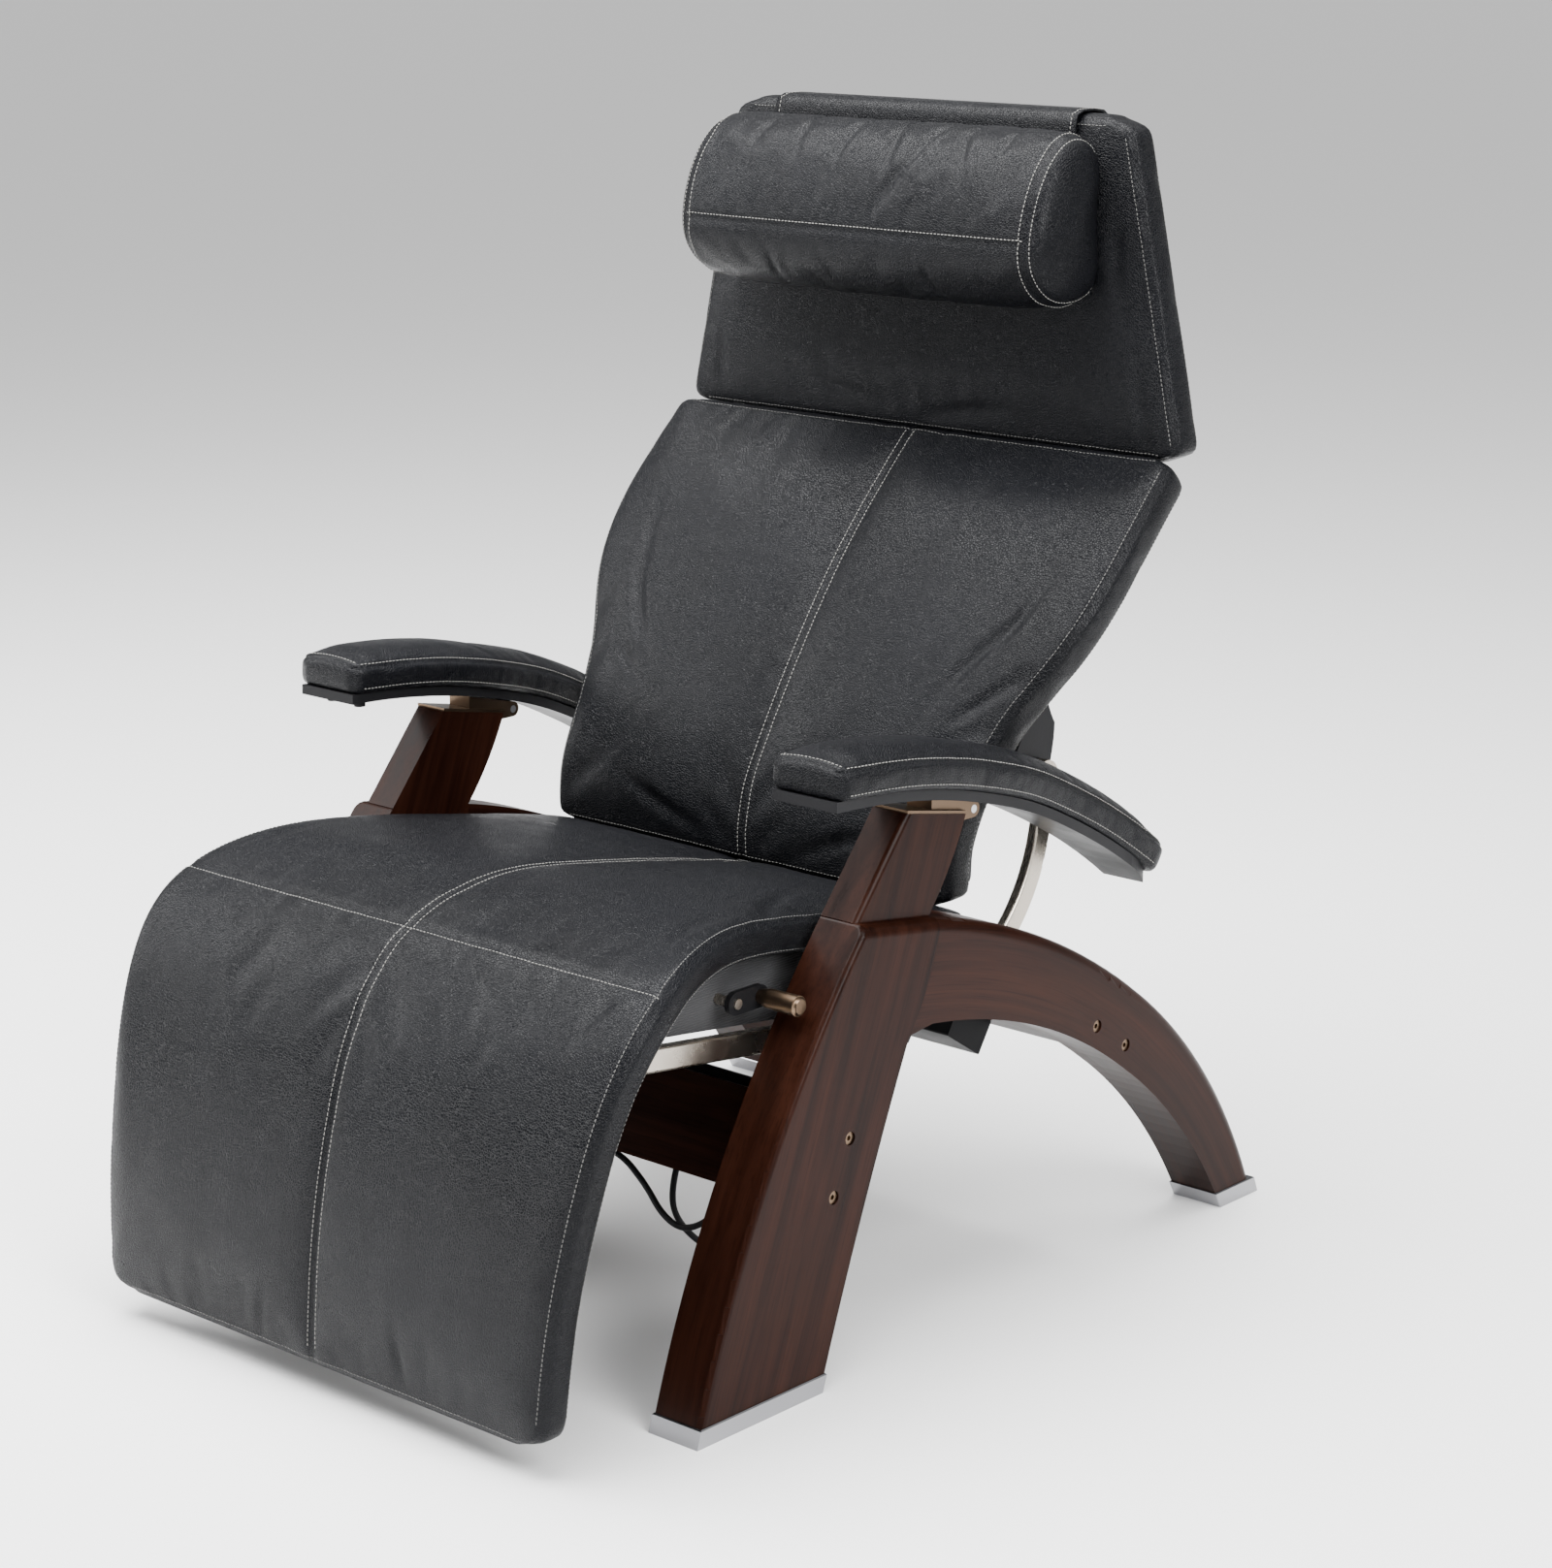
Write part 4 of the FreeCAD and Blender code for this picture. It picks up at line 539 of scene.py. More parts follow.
def new_material(name, colour, roughness, metallic=0.0):
    """Material with one shader; gives both."""
    material = bpy.data.materials.new(name)
    material.use_nodes = True
    shader = material.node_tree.nodes["Principled BSDF"]
    shader.inputs["Base Color"].default_value = (*colour, 1)
    shader.inputs["Roughness"].default_value = roughness
    shader.inputs["Metallic"].default_value = metallic
    return material, shader


def feed(material, socket, value):
    """Links a socket to another one, or sets it to a value."""
    if isinstance(value, bpy.types.NodeSocket):
        material.node_tree.links.new(value, socket)
    else:
        socket.default_value = value


def add(material, kind, **inputs):
    """New node; inputs are values or sockets by name."""
    node = material.node_tree.nodes.new(kind)
    for key, value in inputs.items():
        feed(material, node.inputs[key], value)
    return node


def noise(material, place, scale, detail, **more):
    """Soft cloudy pattern from 0 to 1."""
    return add(material, "ShaderNodeTexNoise", Vector=place, Scale=scale, Detail=detail, **more)


def calculate(material, kind, operation, *values):
    """Node for a sum of numbers or of vectors; values are in the order of its inputs."""
    node = material.node_tree.nodes.new(kind)
    node.operation = operation
    for socket, value in zip(node.inputs, values):
        feed(material, socket, value)
    return node


def object_place(material):
    """Place on the piece."""
    return add(material, "ShaderNodeTexCoord").outputs["Object"]


def mapped(material, place, location=(0, 0, 0), turn=(0, 0, 0), scale=(1, 1, 1)):
    """Place that is moved, turned and stretched."""
    return add(material, "ShaderNodeMapping", Vector=place, Location=location, Rotation=turn,
               Scale=scale).outputs[0]


def spread(material, value, low, high, to_low, to_high):
    """Carries the range from low to high over to another range."""
    node = add(material, "ShaderNodeMapRange", Value=value)
    for key, amount in (("From Min", low), ("From Max", high), ("To Min", to_low), ("To Max", to_high)):
        node.inputs[key].default_value = amount
    return node.outputs[0]


def blend_colours(material, factor, first, second):
    """Mix of two colours, each one a value or a socket."""
    node = material.node_tree.nodes.new("ShaderNodeMix")
    node.data_type = "RGBA"
    feed(material, node.inputs[0], factor)
    for socket, colour in ((node.inputs[6], first), (node.inputs[7], second)):
        feed(material, socket, colour if isinstance(colour, bpy.types.NodeSocket) else (*colour, 1))
    return node.outputs[2]


def bumped(material, height, strength, distance, under=None):
    """Surface relief, on top of the relief under it."""
    node = add(material, "ShaderNodeBump", Height=height, Strength=strength, Distance=distance)
    if under:
        feed(material, node.inputs["Normal"], under)
    return node.outputs[0]


def leather():
    """Pebbled upholstery leather: flat-topped cells with creases between them, fine pores, uneven gloss."""
    c = colours().leather
    material, shader = new_material("black_leather", c, 0.4)
    place = object_place(material)
    warp = noise(material, place, 160.0, 3.0)
    bent = calculate(material, "ShaderNodeVectorMath", "MULTIPLY_ADD", warp.outputs["Color"],
                     (0.0022, 0.0022, 0.0022), place)
    cells = material.node_tree.nodes.new("ShaderNodeTexVoronoi")
    cells.feature = "DISTANCE_TO_EDGE"
    cells.inputs["Scale"].default_value = 1 / sewing().pebble
    feed(material, cells.inputs["Vector"], bent.outputs[0])
    edge = cells.outputs["Distance"]
    cloud = noise(material, place, 5.0, 6.0, Roughness=0.6).outputs["Fac"]
    pores = noise(material, place, 900.0, 4.0).outputs["Fac"]
    rub = noise(material, place, 34.0, 5.0).outputs["Fac"]
    tone = blend_colours(material, spread(material, cloud, 0.3, 0.7, 0.0, 1.0),
                         [v * 0.8 for v in c], [v * 1.3 for v in c])
    feed(material, shader.inputs["Base Color"], tone)
    sheen = calculate(material, "ShaderNodeMath", "ADD", spread(material, rub, 0.3, 0.7, 0.27, 0.38),
                      spread(material, edge, 0.0, 0.12, 0.10, 0.0))
    feed(material, shader.inputs["Roughness"], sheen.outputs[0])
    low = bumped(material, rub, 0.35, 0.0010)
    mid = bumped(material, spread(material, edge, 0.0, 0.16, 0.0, 1.0), 0.75, 0.00055, low)
    feed(material, shader.inputs["Normal"], bumped(material, pores, 0.25, 0.00012, mid))
    shader.inputs["Specular IOR Level"].default_value = 0.13
    return material


def thread(name="contrast_thread", shade=1.0):
    """Sewing thread with a fine twist."""
    material, shader = new_material(name, [shade * v for v in colours().thread], 0.7)
    twist = add(material, "ShaderNodeTexNoise", Vector=object_place(material), Scale=1500.0)
    feed(material, shader.inputs["Normal"], bumped(material, twist.outputs["Fac"], 0.5, 0.0002))
    shader.inputs["Sheen Weight"].default_value = 0.3
    return material


def tonal_thread():
    """Thread that hardly shows on the leather."""
    return thread("tonal_thread", shade=0.34)


def wood(name, place_of):
    """Stained bentwood: long grain streaks and short pores that both follow the piece, under semi-gloss
    varnish."""
    cfg = colours()
    material, shader = new_material(name, cfg.wood_light, 0.32)
    place = place_of(material)
    grain = noise(material, mapped(material, place, scale=(26, 26, 1.3)), 1.6, 8.0, Roughness=0.62,
                  Distortion=0.5).outputs["Fac"]
    pores = noise(material, mapped(material, place, scale=(520, 520, 16)), 1.0, 3.0).outputs["Fac"]
    pore = spread(material, pores, 0.52, 0.68, 0.0, 1.0)
    tone = blend_colours(material, spread(material, grain, 0.33, 0.68, 0.0, 1.0),
                         cfg.wood_dark, cfg.wood_light)
    deep = blend_colours(material, spread(material, pore, 0.0, 1.0, 0.0, 0.45), tone,
                         [v * 0.5 for v in cfg.wood_dark])
    feed(material, shader.inputs["Base Color"], deep)
    feed(material, shader.inputs["Roughness"], spread(material, grain, 0.3, 0.7, 0.27, 0.38))
    feed(material, shader.inputs["Normal"], bumped(material, pore, -0.12, 0.00025))
    shader.inputs["Specular IOR Level"].default_value = 0.05
    shader.inputs["Coat Weight"].default_value = 0.04
    shader.inputs["Coat Roughness"].default_value = 0.16
    return material


def grain_straight(turn):
    """Grain along the piece's own direction: the object's place turned until that direction is Z."""
    return lambda material: mapped(material, object_place(material), turn=turn)


def circle_through(a, b, c):
    """Centre of the circle through three side-view points: where two chords' middle lines meet."""
    rows = np.array([[b[0] - a[0], b[1] - a[1]], [c[0] - a[0], c[1] - a[1]]])
    right = [(np.dot(p, p) - np.dot(a, a)) / 2 for p in (np.array(b), np.array(c))]
    return np.linalg.solve(rows, right)


def grain_bent(centre, radius):
    """Grain round the arch: width, distance from the centre, and length along the arc."""
    def place_of(material):
        moved = mapped(material, object_place(material), location=(0, -centre[0], -centre[1]))
        split = add(material, "ShaderNodeSeparateXYZ", Vector=moved).outputs
        flat = add(material, "ShaderNodeCombineXYZ", Y=split["Y"], Z=split["Z"])
        reach = calculate(material, "ShaderNodeVectorMath", "LENGTH", flat.outputs[0])
        angle = calculate(material, "ShaderNodeMath", "ARCTAN2", split["Z"], split["Y"])
        arc = calculate(material, "ShaderNodeMath", "MULTIPLY", angle.outputs[0], radius)
        return add(material, "ShaderNodeCombineXYZ", X=split["X"], Y=reach.outputs["Value"],
                   Z=arc.outputs[0]).outputs[0]
    return place_of


def plated(name, colour, roughness, wear=0.06):
    """Plated or painted metal with faint polishing marks."""
    material, shader = new_material(name, colour, roughness, 1.0)
    place = mapped(material, object_place(material), scale=(90, 4, 4))
    marks = noise(material, place, 8.0, 6.0).outputs["Fac"]
    feed(material, shader.inputs["Roughness"],
         spread(material, marks, 0.3, 0.7, roughness - wear, roughness + wear))
    feed(material, shader.inputs["Normal"], bumped(material, marks, 0.06, 0.0002))
    return material


def moulded(name, colour, roughness, grain=700.0, metallic=0.0):
    """Spark-grained plastic, rubber or powder coat."""
    material, shader = new_material(name, colour, roughness, metallic)
    place = object_place(material)
    spots = noise(material, place, grain, 3.0).outputs["Fac"]
    dust = noise(material, place, 18.0, 5.0).outputs["Fac"]
    feed(material, shader.inputs["Roughness"],
         spread(material, dust, 0.3, 0.7, roughness - 0.06, roughness + 0.08))
    feed(material, shader.inputs["Normal"], bumped(material, spots, 0.35, 0.0002))
    shader.inputs["Specular IOR Level"].default_value = 0.10
    return material


def woven():
    """Black backing cloth: two crossed sets of fine ribs."""
    material, shader = new_material("black_fabric", (0.012, 0.012, 0.014), 0.85)
    place = object_place(material)
    ribs = []
    for direction in ("X", "Z"):
        wave = add(material, "ShaderNodeTexWave", Vector=place, Scale=130.0, Distortion=0.6, Detail=2.0)
        wave.bands_direction = direction
        ribs.append(wave.outputs["Fac"])
    weave = calculate(material, "ShaderNodeMath", "MULTIPLY", *ribs)
    lint = noise(material, place, 40.0, 6.0).outputs["Fac"]
    feed(material, shader.inputs["Base Color"],
         blend_colours(material, lint, (0.009, 0.009, 0.010), (0.022, 0.022, 0.025)))
    feed(material, shader.inputs["Normal"], bumped(material, weave.outputs[0], 0.6, 0.0006))
    shader.inputs["Sheen Weight"].default_value = 0.25
    return material


def finish_nodes(material, slot, *names):
    """Gives CAD nodes their material, and leaves their faces flat."""
    for name in names:
        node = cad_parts[name]
        node.data.materials.clear()
        node.data.materials.append(material)
        node.data.polygons.foreach_set("use_smooth", np.zeros(len(node.data.polygons), bool))


MATERIALS = {}


def made(name, maker):
    """The material of that name, made when it is first asked for."""
    if name not in MATERIALS:
        MATERIALS[name] = maker()
    return MATERIALS[name]


# ---------------------------------------------------------------- the leather pads

def seam_rows(pad, offsets, margin):
    """Rough lines along the front of a pad, at fixed distances from its middle."""
    s = np.linspace(margin, pad.line.length - margin, 300)
    return [pad.line.place(np.full_like(s, x), s, np.full_like(s, pad.inset)) for x in offsets]


def side_rows(pad, gap, depth, start, stop):
    """Rough lines along both sides of a pad, at a gap inside its half width."""
    s = np.linspace(start, stop, 300)
    return [pad.line.place(side * (pad.half(s) - gap), s, np.full_like(s, depth)) for side in (-1, 1)]


def cross_rows(pad, places, gap):
    """Rough lines across the front of a pad, ending at a gap from its sides."""
    rows = []
    for s in places:
        half = float(pad.half(np.array(s))) - gap
        x = np.linspace(-half, half, 160)
        rows.append(pad.line.place(x, np.full_like(x, s), np.full_like(x, pad.inset)))
    return rows


def edge_rows(pad, depth, margin, across, gap):
    """Rows inside the front's edge and along the sides at a depth, and rows across at the given places."""
    end = pad.line.length - margin
    return (side_rows(pad, EDGE_ROW, pad.inset, margin, end) + side_rows(pad, 0.0, depth, margin, end)
            + cross_rows(pad, across, gap))


def middle_or_rim(pad, x, s, depth):
    """Distance from the sewn middle line of the front, or from its rim."""
    front = depth < pad.inset + 0.5 * pad.cell
    return np.minimum(np.where(front, np.abs(x), 1.0), pad.rim(x, s, depth))


def upholster(pad, seams, folds, cap):
    """Sews and fills a pad. seams(x, s, depth) is the distance from the nearest seam on the pattern."""
    piece = pad.build(made("leather", leather), "black_leather")
    x, s, depth = panel_of(piece)
    held = (seams(x, s, depth) < 0.62 * pad.cell) | (depth > pad.thick - 0.3 * pad.cell)
    gusset = np.clip((depth - pad.inset) / pad.cell, 0, 1) * 0.8 + 0.2
    inflate(piece, held, gusset, sewing().pressure, PANEL_SPARE, cap)
    subdivide(piece)
    x, s, depth = panel_of(piece)
    push(piece, -sewing().seam_depth * near(seams(x, s, depth), SEAM_WIDTH))
    front = np.clip(1 - (depth - pad.inset) / 0.01, 0, 1)
    push(piece, front * creases(x, s, folds))
    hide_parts(pad.node)
    return piece


class RECLINER_OT_seat(bpy.types.Operator):
    """Seat and leg rest: one long leather pad with a sewn middle line and a seam at the knee"""

    bl_idname = "recliner.seat"
    bl_label = "Seat and leg rest"

    def execute(self, context):
        pad = Pad("seat_legrest_leather", "seat_frame", "seat_legrest_pad", SEAT_LINE, SEAT_WIDTH,
                  thick=0.0405, corner=0.028, edge=0.012, cell=0.0095, inset=0.0035)

        def seams(x, s, depth):
            front = depth < pad.inset + 0.5 * pad.cell
            knee = np.where(front, np.abs(s - SEAT_KNEE), 1.0)
            return np.minimum(knee, middle_or_rim(pad, x, s, depth))

        piece = upholster(pad, seams, SEAT_FOLDS, cap=0.022)
        rows = seam_rows(pad, TWIN_ROWS, 0.02) + cross_rows(pad, (SEAT_KNEE - 0.004,), gap=0.004)
        stitch("seat_stitches", piece, rows, "seat_frame", made("thread", thread))
        edges = edge_rows(pad, depth=0.036, margin=0.03, across=(EDGE_ROW,), gap=0.03)
        stitch("seat_edge_stitches", piece, edges, "seat_frame", made("tonal", tonal_thread))
        return {"FINISHED"}


class RECLINER_OT_back(bpy.types.Operator):
    """Back: a leather pad that widens to the shoulders, with a sewn middle line"""

    bl_idname = "recliner.back"
    bl_label = "Back"

    def execute(self, context):
        pad = Pad("back_leather", "back", "back_pad", BACK_LINE, BACK_WIDTH,
                  thick=0.0455, corner=0.016, edge=0.012, cell=0.0090, inset=0.0035)
        piece = upholster(pad, partial(middle_or_rim, pad), BACK_FOLDS, cap=0.022)
        stitch("back_stitches", piece, seam_rows(pad, TWIN_ROWS, 0.012), "back", made("thread", thread))
        across = (EDGE_ROW, pad.line.length - EDGE_ROW)
        edges = edge_rows(pad, depth=0.040, margin=0.02, across=across, gap=0.02)
        stitch("back_edge_stitches", piece, edges, "back", made("tonal", tonal_thread))
        return {"FINISHED"}


class RECLINER_OT_head(bpy.types.Operator):
    """Head part: a tapering leather pad"""

    bl_idname = "recliner.head"
    bl_label = "Head part"

    def execute(self, context):
        pad = Pad("head_leather", "back", "head_pad", HEAD_LINE, HEAD_WIDTH,
                  thick=0.0450, corner=0.022, edge=0.012, cell=0.0090, inset=0.0030)
        piece = upholster(pad, pad.rim, HEAD_FOLDS, cap=0.010)
        across = (EDGE_ROW, pad.line.length - EDGE_ROW)
        edges = edge_rows(pad, depth=0.038, margin=0.02, across=across, gap=0.025)
        stitch("head_stitches", piece, edges, "back", made("tonal", tonal_thread))
        return {"FINISHED"}


# ---------------------------------------------------------------- the head pillow, its strap and weight

class Section:
    """A closed side view, by the share of its way round."""

    def __init__(self, points):
        loop = np.array(points)
        again = np.concatenate([loop[-3:], loop, loop[:4]])
        dense = natural_spline(again, 1600)
        first = np.argmin(np.linalg.norm(dense[:800] - loop[0], axis=1))
        last = 800 + np.argmin(np.linalg.norm(dense[800:] - loop[0], axis=1))
        self.points = dense[first:last + 1]
        self.lengths = lengths_along(self.points)
        self.length = self.lengths[-1]

    def place(self, share):
        """Point at a share of the way round."""
        w = np.mod(share, 1.0) * self.length
        return np.stack([np.interp(w, self.lengths, c) for c in self.points.T], axis=-1)


def square_way(u, v):
    """For the line from the middle of a square through (u, v): the share of the way round the square, from
    its lower left corner, at which the line leaves it, and how far out (u, v) is."""
    reach = np.maximum(np.maximum(np.abs(u), np.abs(v)), 1e-9)
    p, q = u / reach, v / reach
    sides = [np.abs(q + 1) < 1e-6, np.abs(p - 1) < 1e-6, np.abs(q - 1) < 1e-6]
    return np.select(sides, [(p + 1) / 8, 0.25 + (q + 1) / 8, 0.5 + (1 - p) / 8], 0.75 + (1 - q) / 8), reach


class RECLINER_OT_pillow(bpy.types.Operator):
    """Head pillow: a fat leather roll with a sewn line across it and a gusset at each end"""

    bl_idname = "recliner.pillow"
    bl_label = "Head pillow"

    def execute(self, context):
        section, heart = Section(PILLOW_SECTION), np.array(PILLOW_HEART)
        piece = self.roll(section, heart)

        def seams(x, way, reach):
            ring = np.abs(np.abs(x) - PILLOW_SEAM) + (1 - reach) * 0.08
            line = np.where(reach > 0.99, np.abs(way - PILLOW_LINE_WAY * section.length), 1.0)
            return np.minimum(ring, line)

        x, way, reach = panel_of(piece)
        behind = coordinates(piece.data)[:, 1] > PILLOW_REST
        held = (seams(x, way, reach) < 0.6 * PILLOW_CELL) | behind
        inflate(piece, held, np.ones(len(x)), pressure=3.2, spare=0.06, cap=0.012)
        subdivide(piece)
        x, way, reach = panel_of(piece)
        folds = np.where(reach > 0.99, creases(x, way, PILLOW_FOLDS), 0)
        push(piece, folds - 0.0018 * near(seams(x, way, reach), 0.0040))
        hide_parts("head_pillow")
        self.sew(piece, section, heart)
        return {"FINISHED"}

    def roll(self, section, heart):
        """The section carried across, a little slimmer towards the ends, with a domed gusset at each end. Its
        panel attribute holds the width place, the way round, and how far out on the gusset."""
        across = round(section.length / PILLOW_CELL / 4)
        share, quads = box_lattice((2 * round(PILLOW_SEAM / PILLOW_CELL), across, across))
        way, reach = square_way(2 * share[:, 1] - 1, 2 * share[:, 2] - 1)
        end = (share[:, 0] < 1e-6) | (share[:, 0] > 1 - 1e-6)
        reach = np.where(end, reach, 1.0)
        side = 2 * share[:, 0] - 1
        dome = np.where(end, np.sqrt(np.maximum(1 - reach ** 2, 0)), 0)
        x = side * PILLOW_SEAM + np.sign(side) * dome * (PILLOW_HALF - PILLOW_SEAM)
        slim = 1 - 0.05 * np.abs(side) ** 6
        points = np.column_stack([x, heart + (section.place(way) - heart) * (reach * slim)[:, None]])
        piece = new_piece("pillow_leather", points, quads, "pillow", made("leather", leather))
        set_panel(piece, x, np.where(end, -1, way) * section.length, reach)
        face_outwards(piece)
        return piece

    def sew(self, piece, section, heart):
        """One row along the sewn line, and a row on each side of both end seams."""
        x = np.linspace(-PILLOW_SEAM, PILLOW_SEAM, 200)
        y, z = section.place(np.array([PILLOW_LINE_WAY + 0.0045 / section.length]))[0]
        rows = [np.column_stack([x, np.full_like(x, y), np.full_like(x, z)])]
        ways = np.linspace(-0.02, 0.86, 400)
        for side in (-1, 1):
            for gap, size in ((0.0065, 0.95), (-0.0050, 0.90)):
                ring = heart + (section.place(ways) - heart) * size
                rows.append(np.column_stack([np.full(len(ways), side * (PILLOW_SEAM - gap)), ring]))
        stitch("pillow_stitches", piece, rows, "pillow", made("thread", thread))


class RECLINER_OT_strap(bpy.types.Operator):
    """Leather strap that carries the pillow over the head part, and the weighted bag at its far end"""

    bl_idname = "recliner.strap"
    bl_label = "Strap and weight"

    def execute(self, context):
        strap = Pad("strap_leather", "back", "pillow_strap", STRAP_LINE, STRAP_WIDTH,
                    thick=0.0012, corner=0.006, edge=0.0009, cell=0.0110, inset=-0.0013)
        piece = strap.build(made("leather", leather), "black_leather")
        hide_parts("pillow_strap")
        rows = side_rows(strap, 0.006, strap.inset, 0.01, strap.line.length - 0.01)
        stitch("strap_stitches", piece, rows, "back", made("thread", thread))

        bag = Pad("weight_leather", "counterweight", "strap_weight", WEIGHT_LINE, WEIGHT_WIDTH,
                  thick=0.0238, corner=0.014, edge=0.0105, cell=0.0060, inset=0.0010)

        def seams(x, s, depth):
            return np.hypot(depth - WEIGHT_SEAM, bag.end_gap(x, s))

        sack = upholster(bag, seams, [], cap=0.004)
        rows = (side_rows(bag, 0.006, bag.inset, 0.01, bag.line.length - 0.01)
                + cross_rows(bag, (0.006, bag.line.length - 0.006), gap=0.012))
        stitch("weight_stitches", sack, rows, "counterweight", made("thread", thread))
        return {"FINISHED"}


# ---------------------------------------------------------------- the armrests

def arm_middle(s, length):
    """Middle of the armrest at length s."""
    return np.interp(s / length, *zip(*ARM_MIDDLE))


class ArmPad(Pad):
    """Armrest pad: a crowned top, a boxed front end and a rounded rear end."""

    def half(self, s):
        """Half width at length s, with the two ends rounded."""
        rear, front = corner_cut(self.line.length - s, ARM_REAR_RADIUS), corner_cut(s, ARM_FRONT_RADIUS)
        return self.width(s) - rear - front

    def shape(self, x, s, depth):
        """Soft-edged pad along the armrest's middle. Its top is lifted most in the middle, less at the ends."""
        share = np.clip(np.abs(x) / np.maximum(self.half(s), 1e-6), 0, 1)
        level = 1 - np.clip((depth - self.inset) / (self.thick - self.inset), 0, 1)
        ends = np.clip(s / 0.03, 0.35, 1), np.clip((self.line.length - s) / 0.06, 0.1, 1)
        lift = ARM_CROWN * (1 - share ** 2.2) * level * ends[0] * ends[1]
        x, s, depth = soft_edges((x, -self.half(s), self.half(s)), (s, 0, self.line.length),
                                 (depth, self.inset, self.thick), self.edge)
        return self.line.place(x + arm_middle(s, self.line.length), s, depth - lift)


def mirrored(piece, name, body):
    """Copy of a piece on the other side of the chair."""
    mesh = piece.data.copy()
    mesh.transform(Matrix.Scale(-1, 4, Vector((1, 0, 0))))
    mesh.flip_normals()
    mesh.name = name
    copy = put_in_scene(name, mesh)
    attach(copy, body)
    return copy


class RECLINER_OT_arms(bpy.types.Operator):
    """Armrests: leather pads with a boxed side"""

    bl_idname = "recliner.arms"
    bl_label = "Armrests"

    def execute(self, context):
        pad = ArmPad("left_arm_leather", "left_arm", "left_arm_pad", ARM_LINE, ARM_WIDTH,
                     thick=0.0308, corner=0.02, edge=0.0075, cell=0.0055, inset=0.0010)
        piece = upholster(pad, pad.rim, [], cap=0.006)
        end = pad.line.length
        rows = []
        s = np.linspace(0.010, end - 0.022, 240)
        for side in (-1, 1):
            for gap, depth in ((0.0065, pad.inset), (0.0, pad.thick - 0.006)):
                x = side * (pad.half(s) - gap) + arm_middle(s, end)
                rows.append(pad.line.place(x, s, np.full_like(s, depth)))
        x = np.linspace(-0.036, 0.036, 30) + ARM_MIDDLE[0][1]
        rows.append(pad.line.place(x, np.full_like(x, 0.0065), np.full_like(x, pad.inset - 0.006)))
        threads = stitch("left_arm_stitches", piece, rows, "left_arm", made("thread", thread))
        other = mirrored(piece, "right_arm_leather", "right_arm")
        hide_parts("right_arm_pad")
        mirrored(threads, "right_arm_stitches", "right_arm")
        return {"FINISHED"}


# ---------------------------------------------------------------- covers, frame and works

class RECLINER_OT_covers(bpy.types.Operator):
    """Cloth-covered boards and shells behind the leather"""

    bl_idname = "recliner.covers"
    bl_label = "Backing covers"

    def execute(self, context):
        cloth = made("cloth", woven)
        shell = Pad("back_cover", "back", "back_shell", BACK_LINE, SHELL_WIDTH,
                    thick=0.0712, corner=0.02, edge=0.011, cell=0.0100, inset=0.0458)
        piece = shell.build(cloth, "black_fabric")
        subdivide(piece)
        x, s, depth = panel_of(piece)
        rim = np.hypot(shell.thick - depth, shell.end_gap(x, s))
        inner = np.where(depth > 0.07, rim - 0.03, 1.0)
        push(piece, -0.0012 * near(rim, 0.004) - 0.0008 * near(inner, 0.006))
        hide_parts("back_shell")
        finish_nodes(cloth, "black_fabric", "seat_base", "legrest_board", "head_board")
        return {"FINISHED"}


def leg_grain():
    """Wood whose grain runs up the leaning legs."""
    return wood("wood_leg", grain_straight((math.radians(LEG_LEAN), 0, 0)))


def arch_grain():
    """Wood whose grain follows the arches."""
    return wood("wood_arch", grain_bent(circle_through(*ARCH_MIDDLE), ARCH_RADIUS))


def rail_grain():
    """Wood whose grain runs across the chair."""
    return wood("wood_stretcher", grain_straight((0, math.radians(-90), 0)))


class RECLINER_OT_base(bpy.types.Operator):
    """Bentwood legs and arches, with stretchers between them"""

    bl_idname = "recliner.base"
    bl_label = "Wooden base"

    def execute(self, context):
        finish_nodes(made("leg", leg_grain), "stained_wood", "left_front_leg", "right_front_leg")
        finish_nodes(made("arch", arch_grain), "stained_wood", "left_rear_arch", "right_rear_arch")
        finish_nodes(made("stretcher", rail_grain), "stained_wood", "front_stretcher", "rear_stretcher")
        beech = made("beech", lambda: moulded("beech", (0.50, 0.33, 0.19), 0.55))
        finish_nodes(beech, "beech", "joint_dowels")
        return {"FINISHED"}


class RECLINER_OT_works(bpy.types.Operator):
    """Seat rails, tubes, brackets, actuator, boxes, buttons and fasteners"""

    bl_idname = "recliner.works"
    bl_label = "Metal and plastic parts"

    def execute(self, context):
        for slot, (maker, names) in WORKS.items():
            finish_nodes(made(slot, maker), slot, *names)
        return {"FINISHED"}


class RECLINER_OT_cables(bpy.types.Operator):
    """Supply cable and motor cable, hanging under the seat"""

    bl_idname = "recliner.cables"
    bl_label = "Cables"

    def execute(self, context):
        sheath = made("cable", lambda: moulded("cable_rubber", (0.014, 0.014, 0.015), 0.55, grain=1600.0))
        for name, node, route, length in CABLES:
            curve = bpy.data.curves.new(name, "CURVE")
            curve.dimensions = "3D"
            spline = curve.splines.new("NURBS")
            spline.points.add(len(route) - 1)
            for point, place in zip(spline.points, route):
                point.co = (*place, 1)
            spline.order_u = 3
            spline.use_endpoint_u = True
            spline.resolution_u = 10
            curve.bevel_depth = CABLE_DIAMETER / 2
            curve.bevel_resolution = 3
            curve.materials.append(sheath)
            piece = put_in_scene(name, curve)
            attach(piece, "base")
            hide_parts(node)
        return {"FINISHED"}


# ---------------------------------------------------------------- stage

def soft_light(name, place, target, size, power):
    """Rectangular light that faces its target."""
    light = bpy.data.lights.new(name, "AREA")
    light.shape, light.size, light.size_y = "RECTANGLE", *size
    light.energy = power
    lamp = put_in_scene(name, light)
    lamp.location = place
    lamp.rotation_euler = (Vector(target) - Vector(place)).to_track_quat("-Z", "Y").to_euler()


